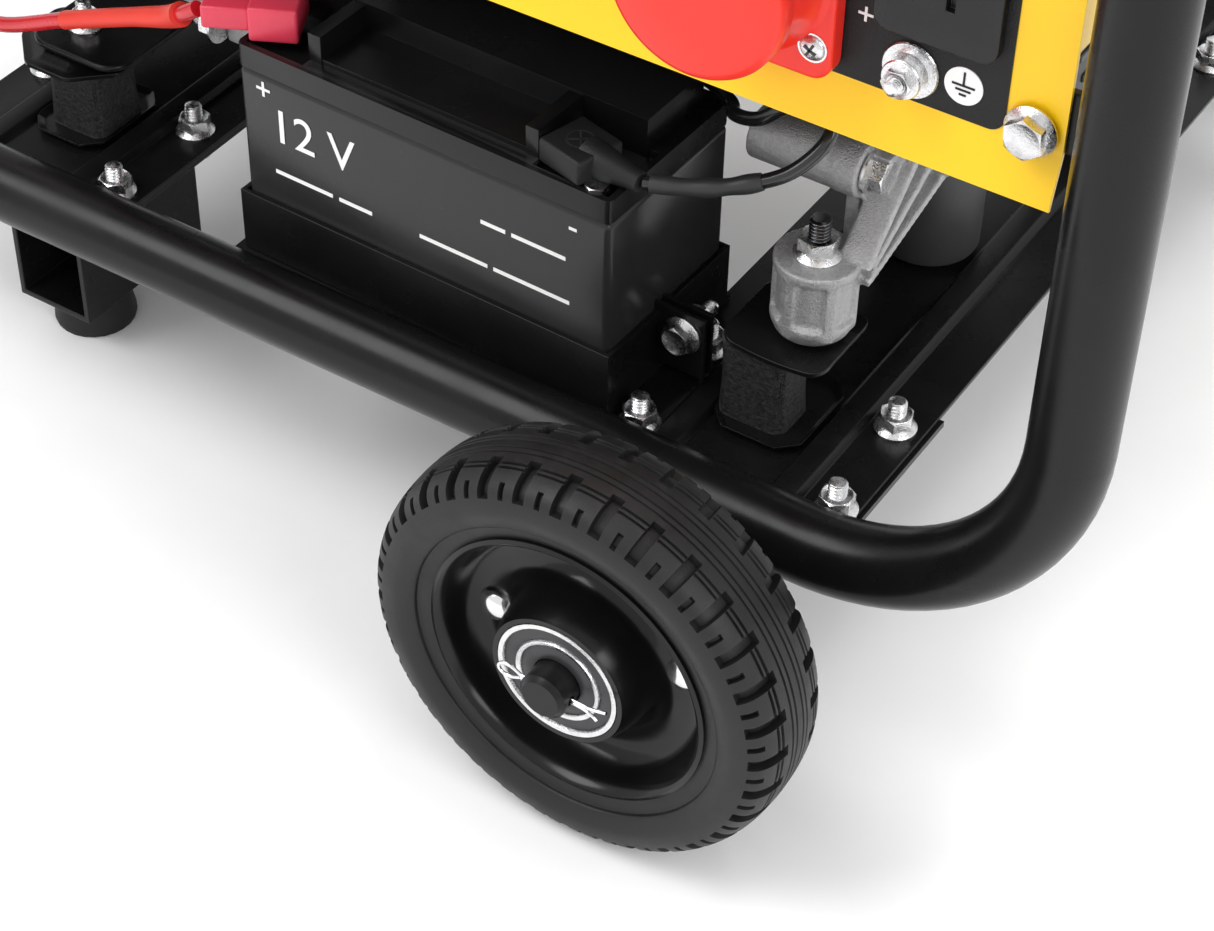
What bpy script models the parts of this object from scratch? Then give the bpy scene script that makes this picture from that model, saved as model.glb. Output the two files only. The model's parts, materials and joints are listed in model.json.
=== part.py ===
"""Portable petrol generator in a black tube frame, with two wheels, a starter battery and a yellow control panel.

Metres, +Z up. The origin is on the ground, below the middle of the frame. The control panel faces -Y, and the
crankshaft, the alternator and the long frame rails run along X. The wheels are at +X, the feet and handles at -X.
"""

import math

import bmesh
import bpy
from mathutils import Matrix, Vector

# Frame
TUBE_R = 0.016
FRAME_HALF_X = 0.3265
RAIL_Y = 0.235
RAIL_Z = 0.101
TOP_Z = 0.609
BEND_R = 0.100
GAP = 0.0003
SHEET = 0.0025

# Wheels
WHEEL_R = 0.090
WHEEL_X = 0.183
WHEEL_FACE_Y = 0.340
TYRE_WIDTH = 0.050
BEAD_R = 0.060
HUB_BORE_R = 0.0263
AXLE_R = 0.010
AXLE_END_Y = 0.351
PIN_HOLE_Y = 0.3449
WHEEL_SIDES = 36

# Cross members and what is bolted to them
CROSS_X = 0.180
CROSS_HALF = 0.0565
RIB_HEIGHT = 0.0035
CROSS_END_Y = RAIL_Y - TUBE_R - GAP
FRONT_RAIL_IN_Y = TUBE_R - RAIL_Y
FLANGE_Z = RAIL_Z - SHEET - GAP
BOLT_OUT_X = 0.044
BOLT_YS = (0.210, 0.1555)
TROUGH_Z = 0.0790
LEG_BOTTOM_Z = 0.0175
LEG_HALF = 0.021

# Handle
HANDLE_PIVOT_Z = 0.470
HANDLE_R = 0.011
HANDLE_Y = RAIL_Y - TUBE_R - HANDLE_R - 0.0040
HANDLE_LENGTH = 0.300
PIN_R = 0.0060

# Rubber mounts, crankshaft line and alternator
MOUNT_YS = (-0.173, 0.089)
MOUNT_X = 0.184
MOUNT_PLATE_SHIFT = -0.0015
BRACKET_FOOT = (0.1893, 0.1267)
MOUNT_TOP_Z = 0.146
CRANK_Y = -0.042
CRANK_Z = 0.280
STATOR_R = 0.105
ROTOR_R = 0.062
BELL_X = (0.1885, 0.2125)
FOOT_TOP_Z = 0.182
BOSS_X = (0.147, 0.195)
BOSS_DROP = 0.070

# Engine
CASE_X = (-0.200, -0.0350)
CYLINDER_TILT = math.radians(25)
CYLINDER_START = 0.1030
SHROUD_X = (-0.2640, -0.2005)
RECOIL_X = (-0.3040, -0.2645)

# Battery
BATTERY_LOW = (-0.0588, -0.21345, 0.1043)
BATTERY_HIGH = (0.1254, -0.12915, 0.1970)
BATTERY_MIDDLE = (0.0333, -0.1713, 0.0)
BATTERY_TURN = math.radians(-1.65)
LID_RIM_Z = 0.2080
LID_TOP_Z = 0.2220
LID_BLOCK_Y = -0.1758
LID_DIVIDERS = ((-0.0264, -0.0200), (0.0806, 0.0868))
TRAY_Z = (0.1015, 0.1040)
CLAMP_TOP_Z = 0.1345
EAR_Z = (0.1090, 0.1390)
EAR_REACH = 0.0220

# Battery leads: each one's end at its terminal boot, and its radius
NEGATIVE_CAP = (0.1008, -0.2012)
NEGATIVE_EXIT = (0.1290, -0.2042, LID_RIM_Z + 0.0050)
POSITIVE_CAP = (-0.0523, -0.1913)
POSITIVE_TURN = math.radians(27)
POSITIVE_EXIT = (-0.0802, -0.2092, LID_RIM_Z + 0.0075)
BLACK_LEAD_R = 0.0029
RED_LEAD_R = 0.0035

# Control panel
PANEL_X = (-0.0985, 0.3015)
PANEL_Y = -0.222
PANEL_Z = (0.306, 0.490)
LIP_Z = 0.2865
BOX_BACK_Y = -0.165
SOCKET_X = 0.181
SOCKET_Z = 0.3462
MAINS_X = 0.060
BREAKER_X = 0.120
KEY_X = 0.050
CONTROLS_Z = 0.440
EARTH_X = 0.2445
EARTH_Z = 0.319

# Fuel tank
TANK_HALF = (0.225, 0.185)
SEAM_Z = 0.5455
TANK_Z = (0.474, 0.612)
CAP_X = -0.110
LUG_XS = (-0.150, 0.150)
LUG_Z = SEAM_Z - GAP
PANEL_TAB_ZS = (0.318, 0.474)

LOOKS = {
    "black_paint": ((0.012, 0.012, 0.013), 0.22, 0.0),
    "yellow_paint": ((0.95, 0.62, 0.02), 0.30, 0.0),
    "zinc": ((0.62, 0.63, 0.64), 0.28, 1.0),
    "cast_aluminium": ((0.46, 0.46, 0.46), 0.48, 1.0),
    "rubber": ((0.018, 0.018, 0.019), 0.75, 0.0),
    "tyre_rubber": ((0.022, 0.022, 0.024), 0.70, 0.0),
    "black_plastic": ((0.014, 0.014, 0.015), 0.35, 0.0),
    "red_plastic": ((0.90, 0.05, 0.035), 0.35, 0.0),
    "boot_red": ((0.62, 0.03, 0.07), 0.45, 0.0),
    "steel": ((0.33, 0.33, 0.34), 0.40, 1.0),
    "dark_steel": ((0.06, 0.06, 0.065), 0.45, 1.0),
}


def look(name):
    found = bpy.data.materials.get(name)
    if found:
        return found
    colour, roughness, metallic = LOOKS[name]
    made = bpy.data.materials.new(name)
    made.use_nodes = True
    shader = made.node_tree.nodes["Principled BSDF"]
    shader.inputs["Base Color"].default_value = (*colour, 1.0)
    shader.inputs["Roughness"].default_value = roughness
    shader.inputs["Metallic"].default_value = metallic
    return made


def placed(name, bm, look_name, origin=(0.0, 0.0, 0.0), smooth=True):
    """An object of this mesh, whose coordinates are the generator's, with its own origin at a pivot."""
    bmesh.ops.recalc_face_normals(bm, faces=bm.faces)
    bmesh.ops.translate(bm, vec=-Vector(origin), verts=bm.verts)
    mesh = bpy.data.meshes.new(name)
    bm.to_mesh(mesh)
    bm.free()
    if smooth:
        mesh.shade_smooth()
        mesh.set_sharp_from_angle(angle=math.radians(32))
    obj = bpy.data.objects.new(name, mesh)
    obj.location = origin
    bpy.context.scene.collection.objects.link(obj)
    if look_name:
        mesh.materials.append(look(look_name))
    return obj


def combine(target, bm, operation):
    """Joins a mesh to the target, or cuts it away, and keeps the tool as a hidden wire object."""
    tool = placed(f"{target.name}_tool", bm, None, smooth=False)
    tool.hide_render = True
    tool.display_type = "WIRE"
    modifier = target.modifiers.new(operation.lower(), "BOOLEAN")
    modifier.operation = operation
    modifier.solver = "EXACT"
    modifier.object = tool


def fuse(target, *pieces):
    for piece in pieces:
        combine(target, piece, "UNION")


def cut(target, *pieces):
    for piece in pieces:
        combine(target, piece, "DIFFERENCE")


def add_box(bm, low, high):
    size = [b - a for a, b in zip(low, high)]
    middle = [(a + b) / 2 for a, b in zip(low, high)]
    matrix = Matrix.Translation(middle) @ Matrix.Diagonal((*size, 1.0))
    bmesh.ops.create_cube(bm, size=1.0, matrix=matrix)
    return bm


def add_rod(bm, start, end, radius, sides=16, end_radius=None):
    start, end = Vector(start), Vector(end)
    turn = (end - start).to_track_quat("Z", "Y").to_matrix().to_4x4()
    matrix = Matrix.Translation((start + end) / 2) @ turn
    top = radius if end_radius is None else end_radius
    bmesh.ops.create_cone(
        bm, cap_ends=True, segments=sides, radius1=radius, radius2=top, depth=(end - start).length, matrix=matrix
    )
    return bm


def add_prism(bm, outline, axis, low, high):
    """Extrudes an outline along X, Y or Z. Its points are the two other coordinates, in X, Y, Z order."""
    def point(pair, level):
        values = list(pair)
        values.insert("xyz".index(axis), level)
        return values

    near = [bm.verts.new(point(pair, low)) for pair in outline]
    far = [bm.verts.new(point(pair, high)) for pair in outline]
    count = len(outline)
    bm.faces.new(near)
    bm.faces.new(far[::-1])
    for i in range(count):
        j = (i + 1) % count
        bm.faces.new((near[j], near[i], far[i], far[j]))
    return bm


def add_turned(bm, profile, centre, axis, sides=32):
    """Turns a closed profile of (radius, place along the axis) about the axis, with a flat at the bottom."""
    quarter = math.pi / 2
    turns = {"x": Matrix.Rotation(quarter, 4, "Y"), "y": Matrix.Rotation(-quarter, 4, "X"), "z": Matrix()}
    place = Matrix.Translation(centre) @ turns[axis]
    rings = []
    for radius, along in profile:
        if radius == 0:
            rings.append([bm.verts.new(place @ Vector((0, 0, along)))])
            continue
        ring = []
        for i in range(sides):
            angle = 2 * math.pi * (i + 0.5) / sides
            ring.append(bm.verts.new(place @ Vector((radius * math.cos(angle), radius * math.sin(angle), along))))
        rings.append(ring)
    for first, second in zip(rings, rings[1:] + rings[:1]):
        for i in range(sides):
            j = (i + 1) % sides
            corners = [first[i % len(first)], first[j % len(first)]]
            corners += [second[j % len(second)], second[i % len(second)]]
            distinct = list(dict.fromkeys(corners))
            if len(distinct) > 2:
                bm.faces.new(distinct)
    return bm


def sheet_outline(path, thickness):
    """The closed outline of a sheet bent along an open path, with the sheet to the left of the path."""
    path = [Vector(p) for p in path]
    offset = []
    for i, point in enumerate(path):
        before = (point - path[i - 1]).normalized() if i else None
        after = (path[i + 1] - point).normalized() if i + 1 < len(path) else None
        before, after = before or after, after or before
        normals = [Vector((-d.y, d.x)) for d in (before, after)]
        middle = (normals[0] + normals[1]).normalized()
        offset.append(point + middle * thickness / middle.dot(normals[0]))
    return [tuple(p) for p in path + offset[::-1]]


def rounded_outline(low, high, radius, steps=4):
    """A rectangle with round corners, as a list of pairs."""
    points = []
    corners = ((high[0], high[1], 0), (low[0], high[1], 1), (low[0], low[1], 2), (high[0], low[1], 3))
    for x, y, quarter in corners:
        centre_x = x - radius if quarter in (0, 3) else x + radius
        centre_y = y - radius if quarter in (0, 1) else y + radius
        for step in range(steps + 1):
            angle = math.pi / 2 * (quarter + step / steps)
            points.append((centre_x + radius * math.cos(angle), centre_y + radius * math.sin(angle)))
    return points


def soften(obj, width, segments=1):
    bevel = obj.modifiers.new("bevel", "BEVEL")
    bevel.width = width
    bevel.segments = segments
    bevel.limit_method = "ANGLE"
    bevel.angle_limit = math.radians(40)
    return obj


def tube(name, points, radius, look_name, resolution=6):
    """A round tube along a smooth line, made as a curve with filled ends."""
    curve = bpy.data.curves.new(name, "CURVE")
    curve.dimensions = "3D"
    curve.bevel_depth = radius
    curve.bevel_resolution = resolution
    curve.use_fill_caps = True
    spline = curve.splines.new("POLY")
    spline.points.add(len(points) - 1)
    for spot, place in zip(spline.points, points):
        spot.co = (*place, 1.0)
    curve.materials.append(look(look_name))
    obj = bpy.data.objects.new(name, curve)
    bpy.context.scene.collection.objects.link(obj)
    return obj


def smooth_line(knots, per_span=4):
    """Points of a smooth curve through the knots, closer together than the knots are."""
    knots = [Vector(k) for k in knots]
    ends = [2 * knots[0] - knots[1]] + knots + [2 * knots[-1] - knots[-2]]
    points = []
    for a, b, c, d in zip(ends, ends[1:], ends[2:], ends[3:]):
        for step in range(per_span):
            t = step / per_span
            points.append(
                0.5 * (2 * b + (c - a) * t + (2 * a - 5 * b + 4 * c - d) * t**2 + (3 * b - a - 3 * c + d) * t**3)
            )
    return points + [knots[-1]]


# Frame ---------------------------------------------------------------------------------------------------------


def loop_points():
    """The centre line of one frame loop, a rounded rectangle in the XZ plane."""
    return rounded_outline((-FRAME_HALF_X, RAIL_Z), (FRAME_HALF_X, TOP_Z), BEND_R, steps=8)


def add_loop(bm, points, normal, radius, sides=12):
    """A round tube along a closed flat line whose plane has this normal."""
    normal = Vector(normal)
    rings = []
    for i, point in enumerate(points):
        along = (points[(i + 1) % len(points)] - points[i - 1]).normalized()
        inward = along.cross(normal)
        ring = []
        for k in range(sides):
            angle = 2 * math.pi * k / sides
            ring.append(bm.verts.new(point + radius * (math.cos(angle) * inward + math.sin(angle) * normal)))
        rings.append(ring)
    for first, second in zip(rings, rings[1:] + rings[:1]):
        for k in range(sides):
            m = (k + 1) % sides
            bm.faces.new((first[k], first[m], second[m], second[k]))
    return bm


def lug_outline(side):
    """An L-shaped lug that hangs inside a top rail, under the tank's seam, as (y, z) pairs."""
    outer, inner, tip, thickness = RAIL_Y - 0.0060, RAIL_Y - 0.0100, TANK_HALF[1] - 0.0090, 0.004
    return [
        (side * outer, TOP_Z - 0.006),
        (side * outer, LUG_Z - thickness),
        (side * tip, LUG_Z - thickness),
        (side * tip, LUG_Z),
        (side * inner, LUG_Z),
        (side * inner, TOP_Z - 0.006),
    ]


def build_frame():
    """Two bent tube loops. Each carries two lugs for the tank, a pin for the handle and tabs for the panel."""
    for name, side in (("front_frame_tube", -1), ("rear_frame_tube", 1)):
        points = [Vector((x, side * RAIL_Y, z)) for x, z in loop_points()]
        loop = placed(name, add_loop(bmesh.new(), points, (0, 1, 0), TUBE_R), "black_paint")
        for x in LUG_XS:
            fuse(loop, add_prism(bmesh.new(), lug_outline(side), "x", x - 0.015, x + 0.015))
        pin_start, pin_end = side * (RAIL_Y - 0.004), side * (HANDLE_Y - HANDLE_R - 0.003)
        place = (-FRAME_HALF_X, HANDLE_PIVOT_Z)
        pin = add_rod(bmesh.new(), (place[0], pin_start, place[1]), (place[0], pin_end, place[1]), PIN_R, 24)
        fuse(loop, pin)
        if side < 0:
            for z in PANEL_TAB_ZS:
                low = (0.2810, PANEL_Y + 0.0022, z - 0.012)
                high = (FRAME_HALF_X + 0.004, PANEL_Y + 0.0062, z + 0.012)
                fuse(loop, add_box(bmesh.new(), low, high))
    for name, centre in (("right_cross_member", CROSS_X), ("left_cross_member", -CROSS_X)):
        build_cross_member(name, centre)


def cut_bolt_holes(obj, centre, sides):
    """Clearance holes for the M8 bolts that hold a bracket under a cross member."""
    for side in sides:
        for out in (-BOLT_OUT_X, BOLT_OUT_X):
            for y in BOLT_YS:
                spot = (centre + out, side * y)
                cut(obj, add_rod(bmesh.new(), (*spot, 0.088), (*spot, 0.110), 0.0043, 12))


def build_cross_member(name, centre):
    """A pressed plate across the frame, with two raised ribs along it."""
    rib_in, rib_out, rib_height = 0.0225, 0.0325, RIB_HEIGHT
    half = [
        (CROSS_HALF, RAIL_Z),
        (rib_out + 0.002, RAIL_Z),
        (rib_out, RAIL_Z + rib_height),
        (rib_in, RAIL_Z + rib_height),
        (rib_in - 0.002, RAIL_Z),
    ]
    path = [(centre + x, z) for x, z in half] + [(centre - x, z) for x, z in half[::-1]]
    bm = add_prism(bmesh.new(), sheet_outline(path, SHEET), "y", -CROSS_END_Y, CROSS_END_Y)
    cut_bolt_holes(placed(name, bm, "black_paint"), centre, (-1, 1))


# Wheels --------------------------------------------------------------------------------------------------------


def tyre_profile():
    """Half of the section from the outer face inwards, then its mirror image."""
    half = [(BEAD_R, 0.0040), (0.0640, 0.0030), (0.0760, 0.0008)]
    half += [(0.0840, 0.0022), (0.0880, 0.0060), (0.0897, 0.0140)]
    mirrored = [(r, TYRE_WIDTH - along) for r, along in half[::-1]]
    flat = WHEEL_R / math.cos(math.pi / WHEEL_SIDES)
    return half + [(flat, 0.0200), (flat, TYRE_WIDTH - 0.0200)] + mirrored


def rim_profile():
    """A drum with a web in the middle and a hub tube that holds the bearings."""
    drum_out, drum_in = BEAD_R - GAP, BEAD_R - 0.0022
    hub_out, web = HUB_BORE_R + 0.0022, (0.0170, 0.0205)
    return [
        (drum_out, 0.0030),
        (drum_out, 0.0470),
        (drum_in, 0.0470),
        (drum_in, web[1]),
        (hub_out, web[1]),
        (hub_out, 0.0500),
        (HUB_BORE_R, 0.0500),
        (HUB_BORE_R, 0.0),
        (hub_out, 0.0),
        (hub_out, web[0]),
        (drum_in, web[0]),
        (drum_in, 0.0030),
    ]


def build_wheel(prefix, side):
    """One wheel. Profiles run from the outer face, at |y| = WHEEL_FACE_Y, towards the frame."""
    def about_axle(profile):
        return [(r, along) for r, along in profile] if side < 0 else [(r, -along) for r, along in profile]

    hub = (WHEEL_X, side * WHEEL_FACE_Y, WHEEL_R)
    tyre = add_turned(bmesh.new(), about_axle(tyre_profile()), hub, "y", WHEEL_SIDES)
    placed(f"{prefix}_tyre", tyre, "tyre_rubber", hub)
    rim = add_turned(bmesh.new(), about_axle(rim_profile()), hub, "y", WHEEL_SIDES)
    placed(f"{prefix}_rim", rim, "black_paint", hub)
    ring = [(0.0103, 0.0), (0.0103, 0.012), (HUB_BORE_R - GAP, 0.012), (HUB_BORE_R - GAP, 0.0)]
    bearing = add_turned(bmesh.new(), about_axle(ring), hub, "y", WHEEL_SIDES)
    placed(f"{prefix}_wheel_bearing", bearing, "zinc", hub)


def build_axle_bracket(name, side):
    """A trough bolted under the right cross member. It dips below the rail and carries a welded stub axle."""
    wall, flange, thickness = 0.0300, CROSS_HALF + 0.0015, 0.003
    path = [
        (-flange, FLANGE_Z - thickness),
        (-wall, FLANGE_Z - thickness),
        (-wall, TROUGH_Z),
        (wall, TROUGH_Z),
        (wall, FLANGE_Z - thickness),
        (flange, FLANGE_Z - thickness),
    ]
    outline = [(CROSS_X + x, z) for x, z in sheet_outline(path, thickness)]
    low, high = sorted((side * 0.1390, side * (CROSS_END_Y - 0.0002)))
    obj = placed(name, add_prism(bmesh.new(), outline, "y", low, high), "black_paint")
    plate_start, plate_end = RAIL_Y + TUBE_R + 0.001, RAIL_Y + TUBE_R + 0.006
    low, high = sorted((side * (CROSS_END_Y - 0.010), side * plate_end))
    fuse(obj, add_box(bmesh.new(), (CROSS_X - wall, low, TROUGH_Z), (CROSS_X + wall, high, TROUGH_Z + 0.0031)))
    low, high = sorted((side * plate_start, side * plate_end))
    fuse(obj, add_box(bmesh.new(), (WHEEL_X - 0.026, low, TROUGH_Z + 0.001), (WHEEL_X + 0.026, high, 0.1120)))
    shoulder = WHEEL_FACE_Y - TYRE_WIDTH - 0.0005
    profile = [
        (0, plate_end - 0.002),
        (0.0135, plate_end - 0.002),
        (0.0135, shoulder),
        (AXLE_R, shoulder),
        (AXLE_R, AXLE_END_Y - 0.002),
        (AXLE_R - 0.002, AXLE_END_Y),
        (0, AXLE_END_Y),
    ]
    axle = add_turned(bmesh.new(), [(r, side * along) for r, along in profile], (WHEEL_X, 0, WHEEL_R), "y", 32)
    fuse(obj, axle)
    pin_y = side * PIN_HOLE_Y
    cut(obj, add_rod(bmesh.new(), (WHEEL_X - 0.02, pin_y, WHEEL_R), (WHEEL_X + 0.02, pin_y, WHEEL_R), 0.0019, 12))
    cut_bolt_holes(obj, CROSS_X, (side,))


# Legs ----------------------------------------------------------------------------------------------------------


def build_leg(prefix, side):
    """A pressed bracket under the left cross member, with a rubber foot below it."""
    flange, thickness = CROSS_HALF - 0.0010, 0.003
    path = [
        (-flange, FLANGE_Z - thickness),
        (-LEG_HALF, FLANGE_Z - thickness),
        (-LEG_HALF, LEG_BOTTOM_Z),
        (LEG_HALF, LEG_BOTTOM_Z),
        (LEG_HALF, FLANGE_Z - thickness),
        (flange, FLANGE_Z - thickness),
    ]
    outline = [(x - CROSS_X, z) for x, z in sheet_outline(path, thickness)]
    low, high = sorted((side * 0.1345, side * 0.2165))
    obj = placed(f"{prefix}_leg_bracket", add_prism(bmesh.new(), outline, "y", low, high), "black_paint")
    cut_bolt_holes(obj, -CROSS_X, (side,))
    top = LEG_BOTTOM_Z - GAP
    foot = [(0, 0), (0.0190, 0), (0.0195, 0.003), (0.0170, top), (0, top)]
    placed(f"{prefix}_foot", add_turned(bmesh.new(), foot, (-0.1775, side * 0.1930, 0), "z", 24), "rubber")


# Handle --------------------------------------------------------------------------------------------------------


def build_handle():
    """A U-shaped lifting handle. It hangs between the left posts and swings out and up to the left."""
    pivot = Vector((-FRAME_HALF_X, 0, HANDLE_PIVOT_Z))
    bottom = HANDLE_PIVOT_Z - HANDLE_LENGTH
    half = rounded_outline((-HANDLE_Y, bottom), (HANDLE_Y, HANDLE_PIVOT_Z + 0.2), 0.045, 5)
    low_corners = [p for p in half if p[1] < HANDLE_PIVOT_Z - 0.05]
    path = [(-HANDLE_Y, HANDLE_PIVOT_Z - 0.012)] + low_corners + [(HANDLE_Y, HANDLE_PIVOT_Z - 0.012)]
    line = [Vector((pivot.x, y, z)) for y, z in path]
    bar = placed("handle_bar", add_bar(bmesh.new(), line, HANDLE_R), "black_paint", pivot)
    for side in (-1, 1):
        bore, rim, half_width = PIN_R + 0.0003, 0.0146, HANDLE_R - 0.0013
        eye = [(bore, -half_width), (bore, half_width), (rim, half_width), (rim, -half_width)]
        eye = [(r, side * HANDLE_Y + along) for r, along in eye]
        fuse(bar, add_turned(bmesh.new(), eye, pivot, "y", 24))
    inner, outer = HANDLE_R + GAP, HANDLE_R + 0.0035
    ring = [(inner, -0.075), (inner, 0.075), (outer, 0.075), (outer, -0.075)]
    grip = add_turned(bmesh.new(), ring, (pivot.x, 0, bottom), "y", 24)
    placed("handle_grip", grip, "rubber", pivot)


def add_bar(bm, points, radius, sides=12):
    """A round bar along an open line in the YZ plane, with flat ends."""
    normal = Vector((1, 0, 0))
    rings = []
    last = len(points) - 1
    for i, point in enumerate(points):
        along = (points[min(i + 1, last)] - points[max(i - 1, 0)]).normalized()
        across = along.cross(normal)
        ring = []
        for k in range(sides):
            angle = 2 * math.pi * k / sides
            ring.append(bm.verts.new(point + radius * (math.cos(angle) * across + math.sin(angle) * normal)))
        rings.append(ring)
    for first, second in zip(rings, rings[1:]):
        for k in range(sides):
            m = (k + 1) % sides
            bm.faces.new((first[k], first[m], second[m], second[k]))
    bm.faces.new(rings[0])
    bm.faces.new(rings[-1][::-1])
    return bm


# Battery -------------------------------------------------------------------------------------------------------


def on_battery(bm):
    """Turns a shape built square to the frame by the small angle at which the battery stands."""
    middle = Matrix.Translation(BATTERY_MIDDLE)
    turn = middle @ Matrix.Rotation(BATTERY_TURN, 4, "Z") @ middle.inverted()
    bmesh.ops.transform(bm, matrix=turn, verts=bm.verts)
    return bm


def build_battery():
    """The case, and a lid with a raised block along its rear, two dividers and a recess for each terminal."""
    case = on_battery(add_box(bmesh.new(), BATTERY_LOW, BATTERY_HIGH))
    soften(placed("battery_case", case, "black_plastic", smooth=False), 0.003, 2)
    (x0, y0, _), (x1, y1, seam) = BATTERY_LOW, BATTERY_HIGH
    outline = rounded_outline((x0, y0), (x1, y1), 0.003, 2)
    rim = on_battery(add_prism(bmesh.new(), outline, "z", seam + GAP, LID_RIM_Z))
    lid = placed("battery_lid", rim, "black_plastic")
    wall, depth, inset = 0.0030, 0.0040, 0.0080
    (left_in, left_out), (right_in, right_out) = LID_DIVIDERS
    for low_x, high_x in ((x0 + wall, left_in), (right_out, x1 - wall)):
        pocket = add_box(bmesh.new(), (low_x, y0 + wall, LID_RIM_Z - depth), (high_x, LID_BLOCK_Y, 0.3))
        cut(lid, on_battery(pocket))
    floor = add_box(bmesh.new(), (left_in, y0 + inset, LID_RIM_Z - depth), (right_out, LID_BLOCK_Y, 0.2105))
    fuse(lid, on_battery(floor))
    low, high = (x0 + inset, LID_BLOCK_Y - 0.001, LID_RIM_Z - depth), (x1 - inset, y1 - inset, LID_TOP_Z)
    fuse(lid, on_battery(add_box(bmesh.new(), low, high)))
    for low_x, high_x in LID_DIVIDERS:
        low = (low_x + 0.0001, y0 + inset - 0.0007, LID_RIM_Z - depth - 0.0007)
        divider = add_box(bmesh.new(), low, (high_x - 0.0001, LID_BLOCK_Y + 0.001, LID_TOP_Z - 0.0008))
        fuse(lid, on_battery(divider))
    build_clamp()
    build_terminals()


def build_clamp():
    """A pressed steel clamp in two halves around the lower battery, with ears that a bolt joins, and its tray.

    The tray rests on the right cross member and meets the front rail.
    """
    (x0, y0, z0), (x1, y1, _) = BATTERY_LOW, BATTERY_HIGH
    wall, split, opening = 0.0020, -0.1780, 0.0030
    left, right = x0 - GAP, x1 + GAP
    front, rear = y0 - GAP, y1 + GAP
    halves = (("battery_clamp_front", front, split, -wall), ("battery_clamp_rear", rear, split + opening, wall))
    for name, face, edge, offset in halves:
        path = [(left, edge), (left, face), (right, face), (right, edge)]
        band = on_battery(add_prism(bmesh.new(), sheet_outline(path, offset), "z", z0, CLAMP_TOP_Z))
        half = placed(name, band, "black_paint")
        near, far = sorted((edge, edge + offset))
        ear = add_box(bmesh.new(), (right + 0.0005, near, EAR_Z[0]), (right + wall + EAR_REACH, far, EAR_Z[1]))
        fuse(half, on_battery(ear))
        if offset > 0:
            tray_low = (-0.0660, FRONT_RAIL_IN_Y + GAP, TRAY_Z[0])
            fuse(half, add_box(bmesh.new(), tray_low, (0.1268, rear + 0.0060, TRAY_Z[1])))
            joint_low = (left + 0.01, rear + 0.0004, TRAY_Z[0] + 0.001)
            fuse(half, on_battery(add_box(bmesh.new(), joint_low, (right - 0.01, rear + wall, z0 + 0.004))))


def build_terminals():
    """Rubber boots on the two terminals. Each has a square cap and a neck for its lead."""
    level, cap_height, cap_side = LID_RIM_Z + GAP, 0.0110, 0.0234
    middle = Vector((*NEGATIVE_CAP, level + cap_height / 2))
    body = Matrix.Translation(middle) @ Matrix.Rotation(math.radians(-15), 4, "Z")
    bm = bmesh.new()
    bmesh.ops.create_cube(bm, size=1.0, matrix=body @ Matrix.Diagonal((cap_side, cap_side, cap_height, 1.0)))
    boot = placed("negative_terminal_boot", bm, "rubber", smooth=False)
    neck_start = middle + Vector((0.004, -0.0006, -0.0002))
    fuse(boot, add_rod(bmesh.new(), neck_start, NEGATIVE_EXIT, 0.0052, 12, 0.0040))
    body = Matrix.Translation((*POSITIVE_CAP, 0)) @ Matrix.Rotation(POSITIVE_TURN, 4, "Z")
    bm = add_box(bmesh.new(), (-0.01035, -0.0140, level), (0.01035, 0.0115, level + 0.0160))
    bmesh.ops.transform(bm, matrix=body, verts=bm.verts)
    boot = placed("positive_terminal_boot", bm, "boot_red", smooth=False)
    neck = add_box(bmesh.new(), (-0.0300, -0.0120, level + 0.0035), (-0.0090, 0.0050, level + 0.0140))
    bmesh.ops.transform(neck, matrix=body, verts=neck.verts)
    fuse(boot, neck)


def build_leads():
    """The two battery leads, held whole between a battery terminal and the engine."""
    knots = [
        Vector(NEGATIVE_EXIT) + Vector((0.0018, 0.0003, 0)),
        (0.1500, -0.1960, 0.2140),
        (0.1660, -0.1885, 0.2175),
        (0.1810, -0.1800, 0.2245),
        (0.1900, -0.1700, 0.2370),
        (0.1850, -0.1600, 0.2450),
        (0.1700, -0.1590, 0.2390),
        (0.1550, -0.1590, 0.2260),
        (0.1400, -0.1520, 0.2180),
        (0.1290, -0.1380, 0.2125),
        (0.1050, -0.1290, 0.2125),
        (0.0500, -0.1275, 0.2125),
        (0.0000, -0.1275, 0.2125),
        (-0.0350, -0.1302, 0.2160),
        (-0.0490, -0.1300, 0.2290),
        (-0.0520, -0.1320, 0.2360),
        (-0.0520, -0.1250, 0.2360),
    ]
    tube("black_battery_lead", smooth_line(knots), BLACK_LEAD_R, "black_plastic", resolution=2)
    knots = [
        POSITIVE_EXIT,
        (-0.0875, -0.2092, 0.2105),
        (-0.1000, -0.2060, 0.2025),
        (-0.1220, -0.2050, 0.1936),
        (-0.1600, -0.2050, 0.1779),
        (-0.1998, -0.2050, 0.1610),
        (-0.2300, -0.2050, 0.1600),
        (-0.2480, -0.2030, 0.1750),
        (-0.2500, -0.1980, 0.2100),
        (-0.2430, -0.1880, 0.2500),
        (-0.2270, -0.1720, 0.2850),
        (-0.2110, -0.1665, 0.3000),
        (-0.1990, -0.1665, 0.3000),
    ]
    tube("red_battery_lead", smooth_line(knots), RED_LEAD_R, "boot_red", resolution=2)


# Rubber mounts ------------------------------------------------------------------------------------------------


def build_mounts():
    """Four bonded mounts, each a rubber block between two steel plates, and a rubber stop in the middle."""
    for prefix, x in (("alternator_mount", MOUNT_X), ("engine_mount", -CROSS_X)):
        for place, y in zip(("front", "rear"), MOUNT_YS):
            build_mount(f"{prefix}_{place}", x, y)
    base = RAIL_Z + RIB_HEIGHT + GAP
    stop = [(0, base), (0.0225, base), (0.0225, 0.1560), (0.0190, 0.1600), (0, 0.1600)]
    placed("bump_stop", add_turned(bmesh.new(), stop, (CROSS_X - 0.002, CRANK_Y, 0), "z", 24), "rubber")


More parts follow.
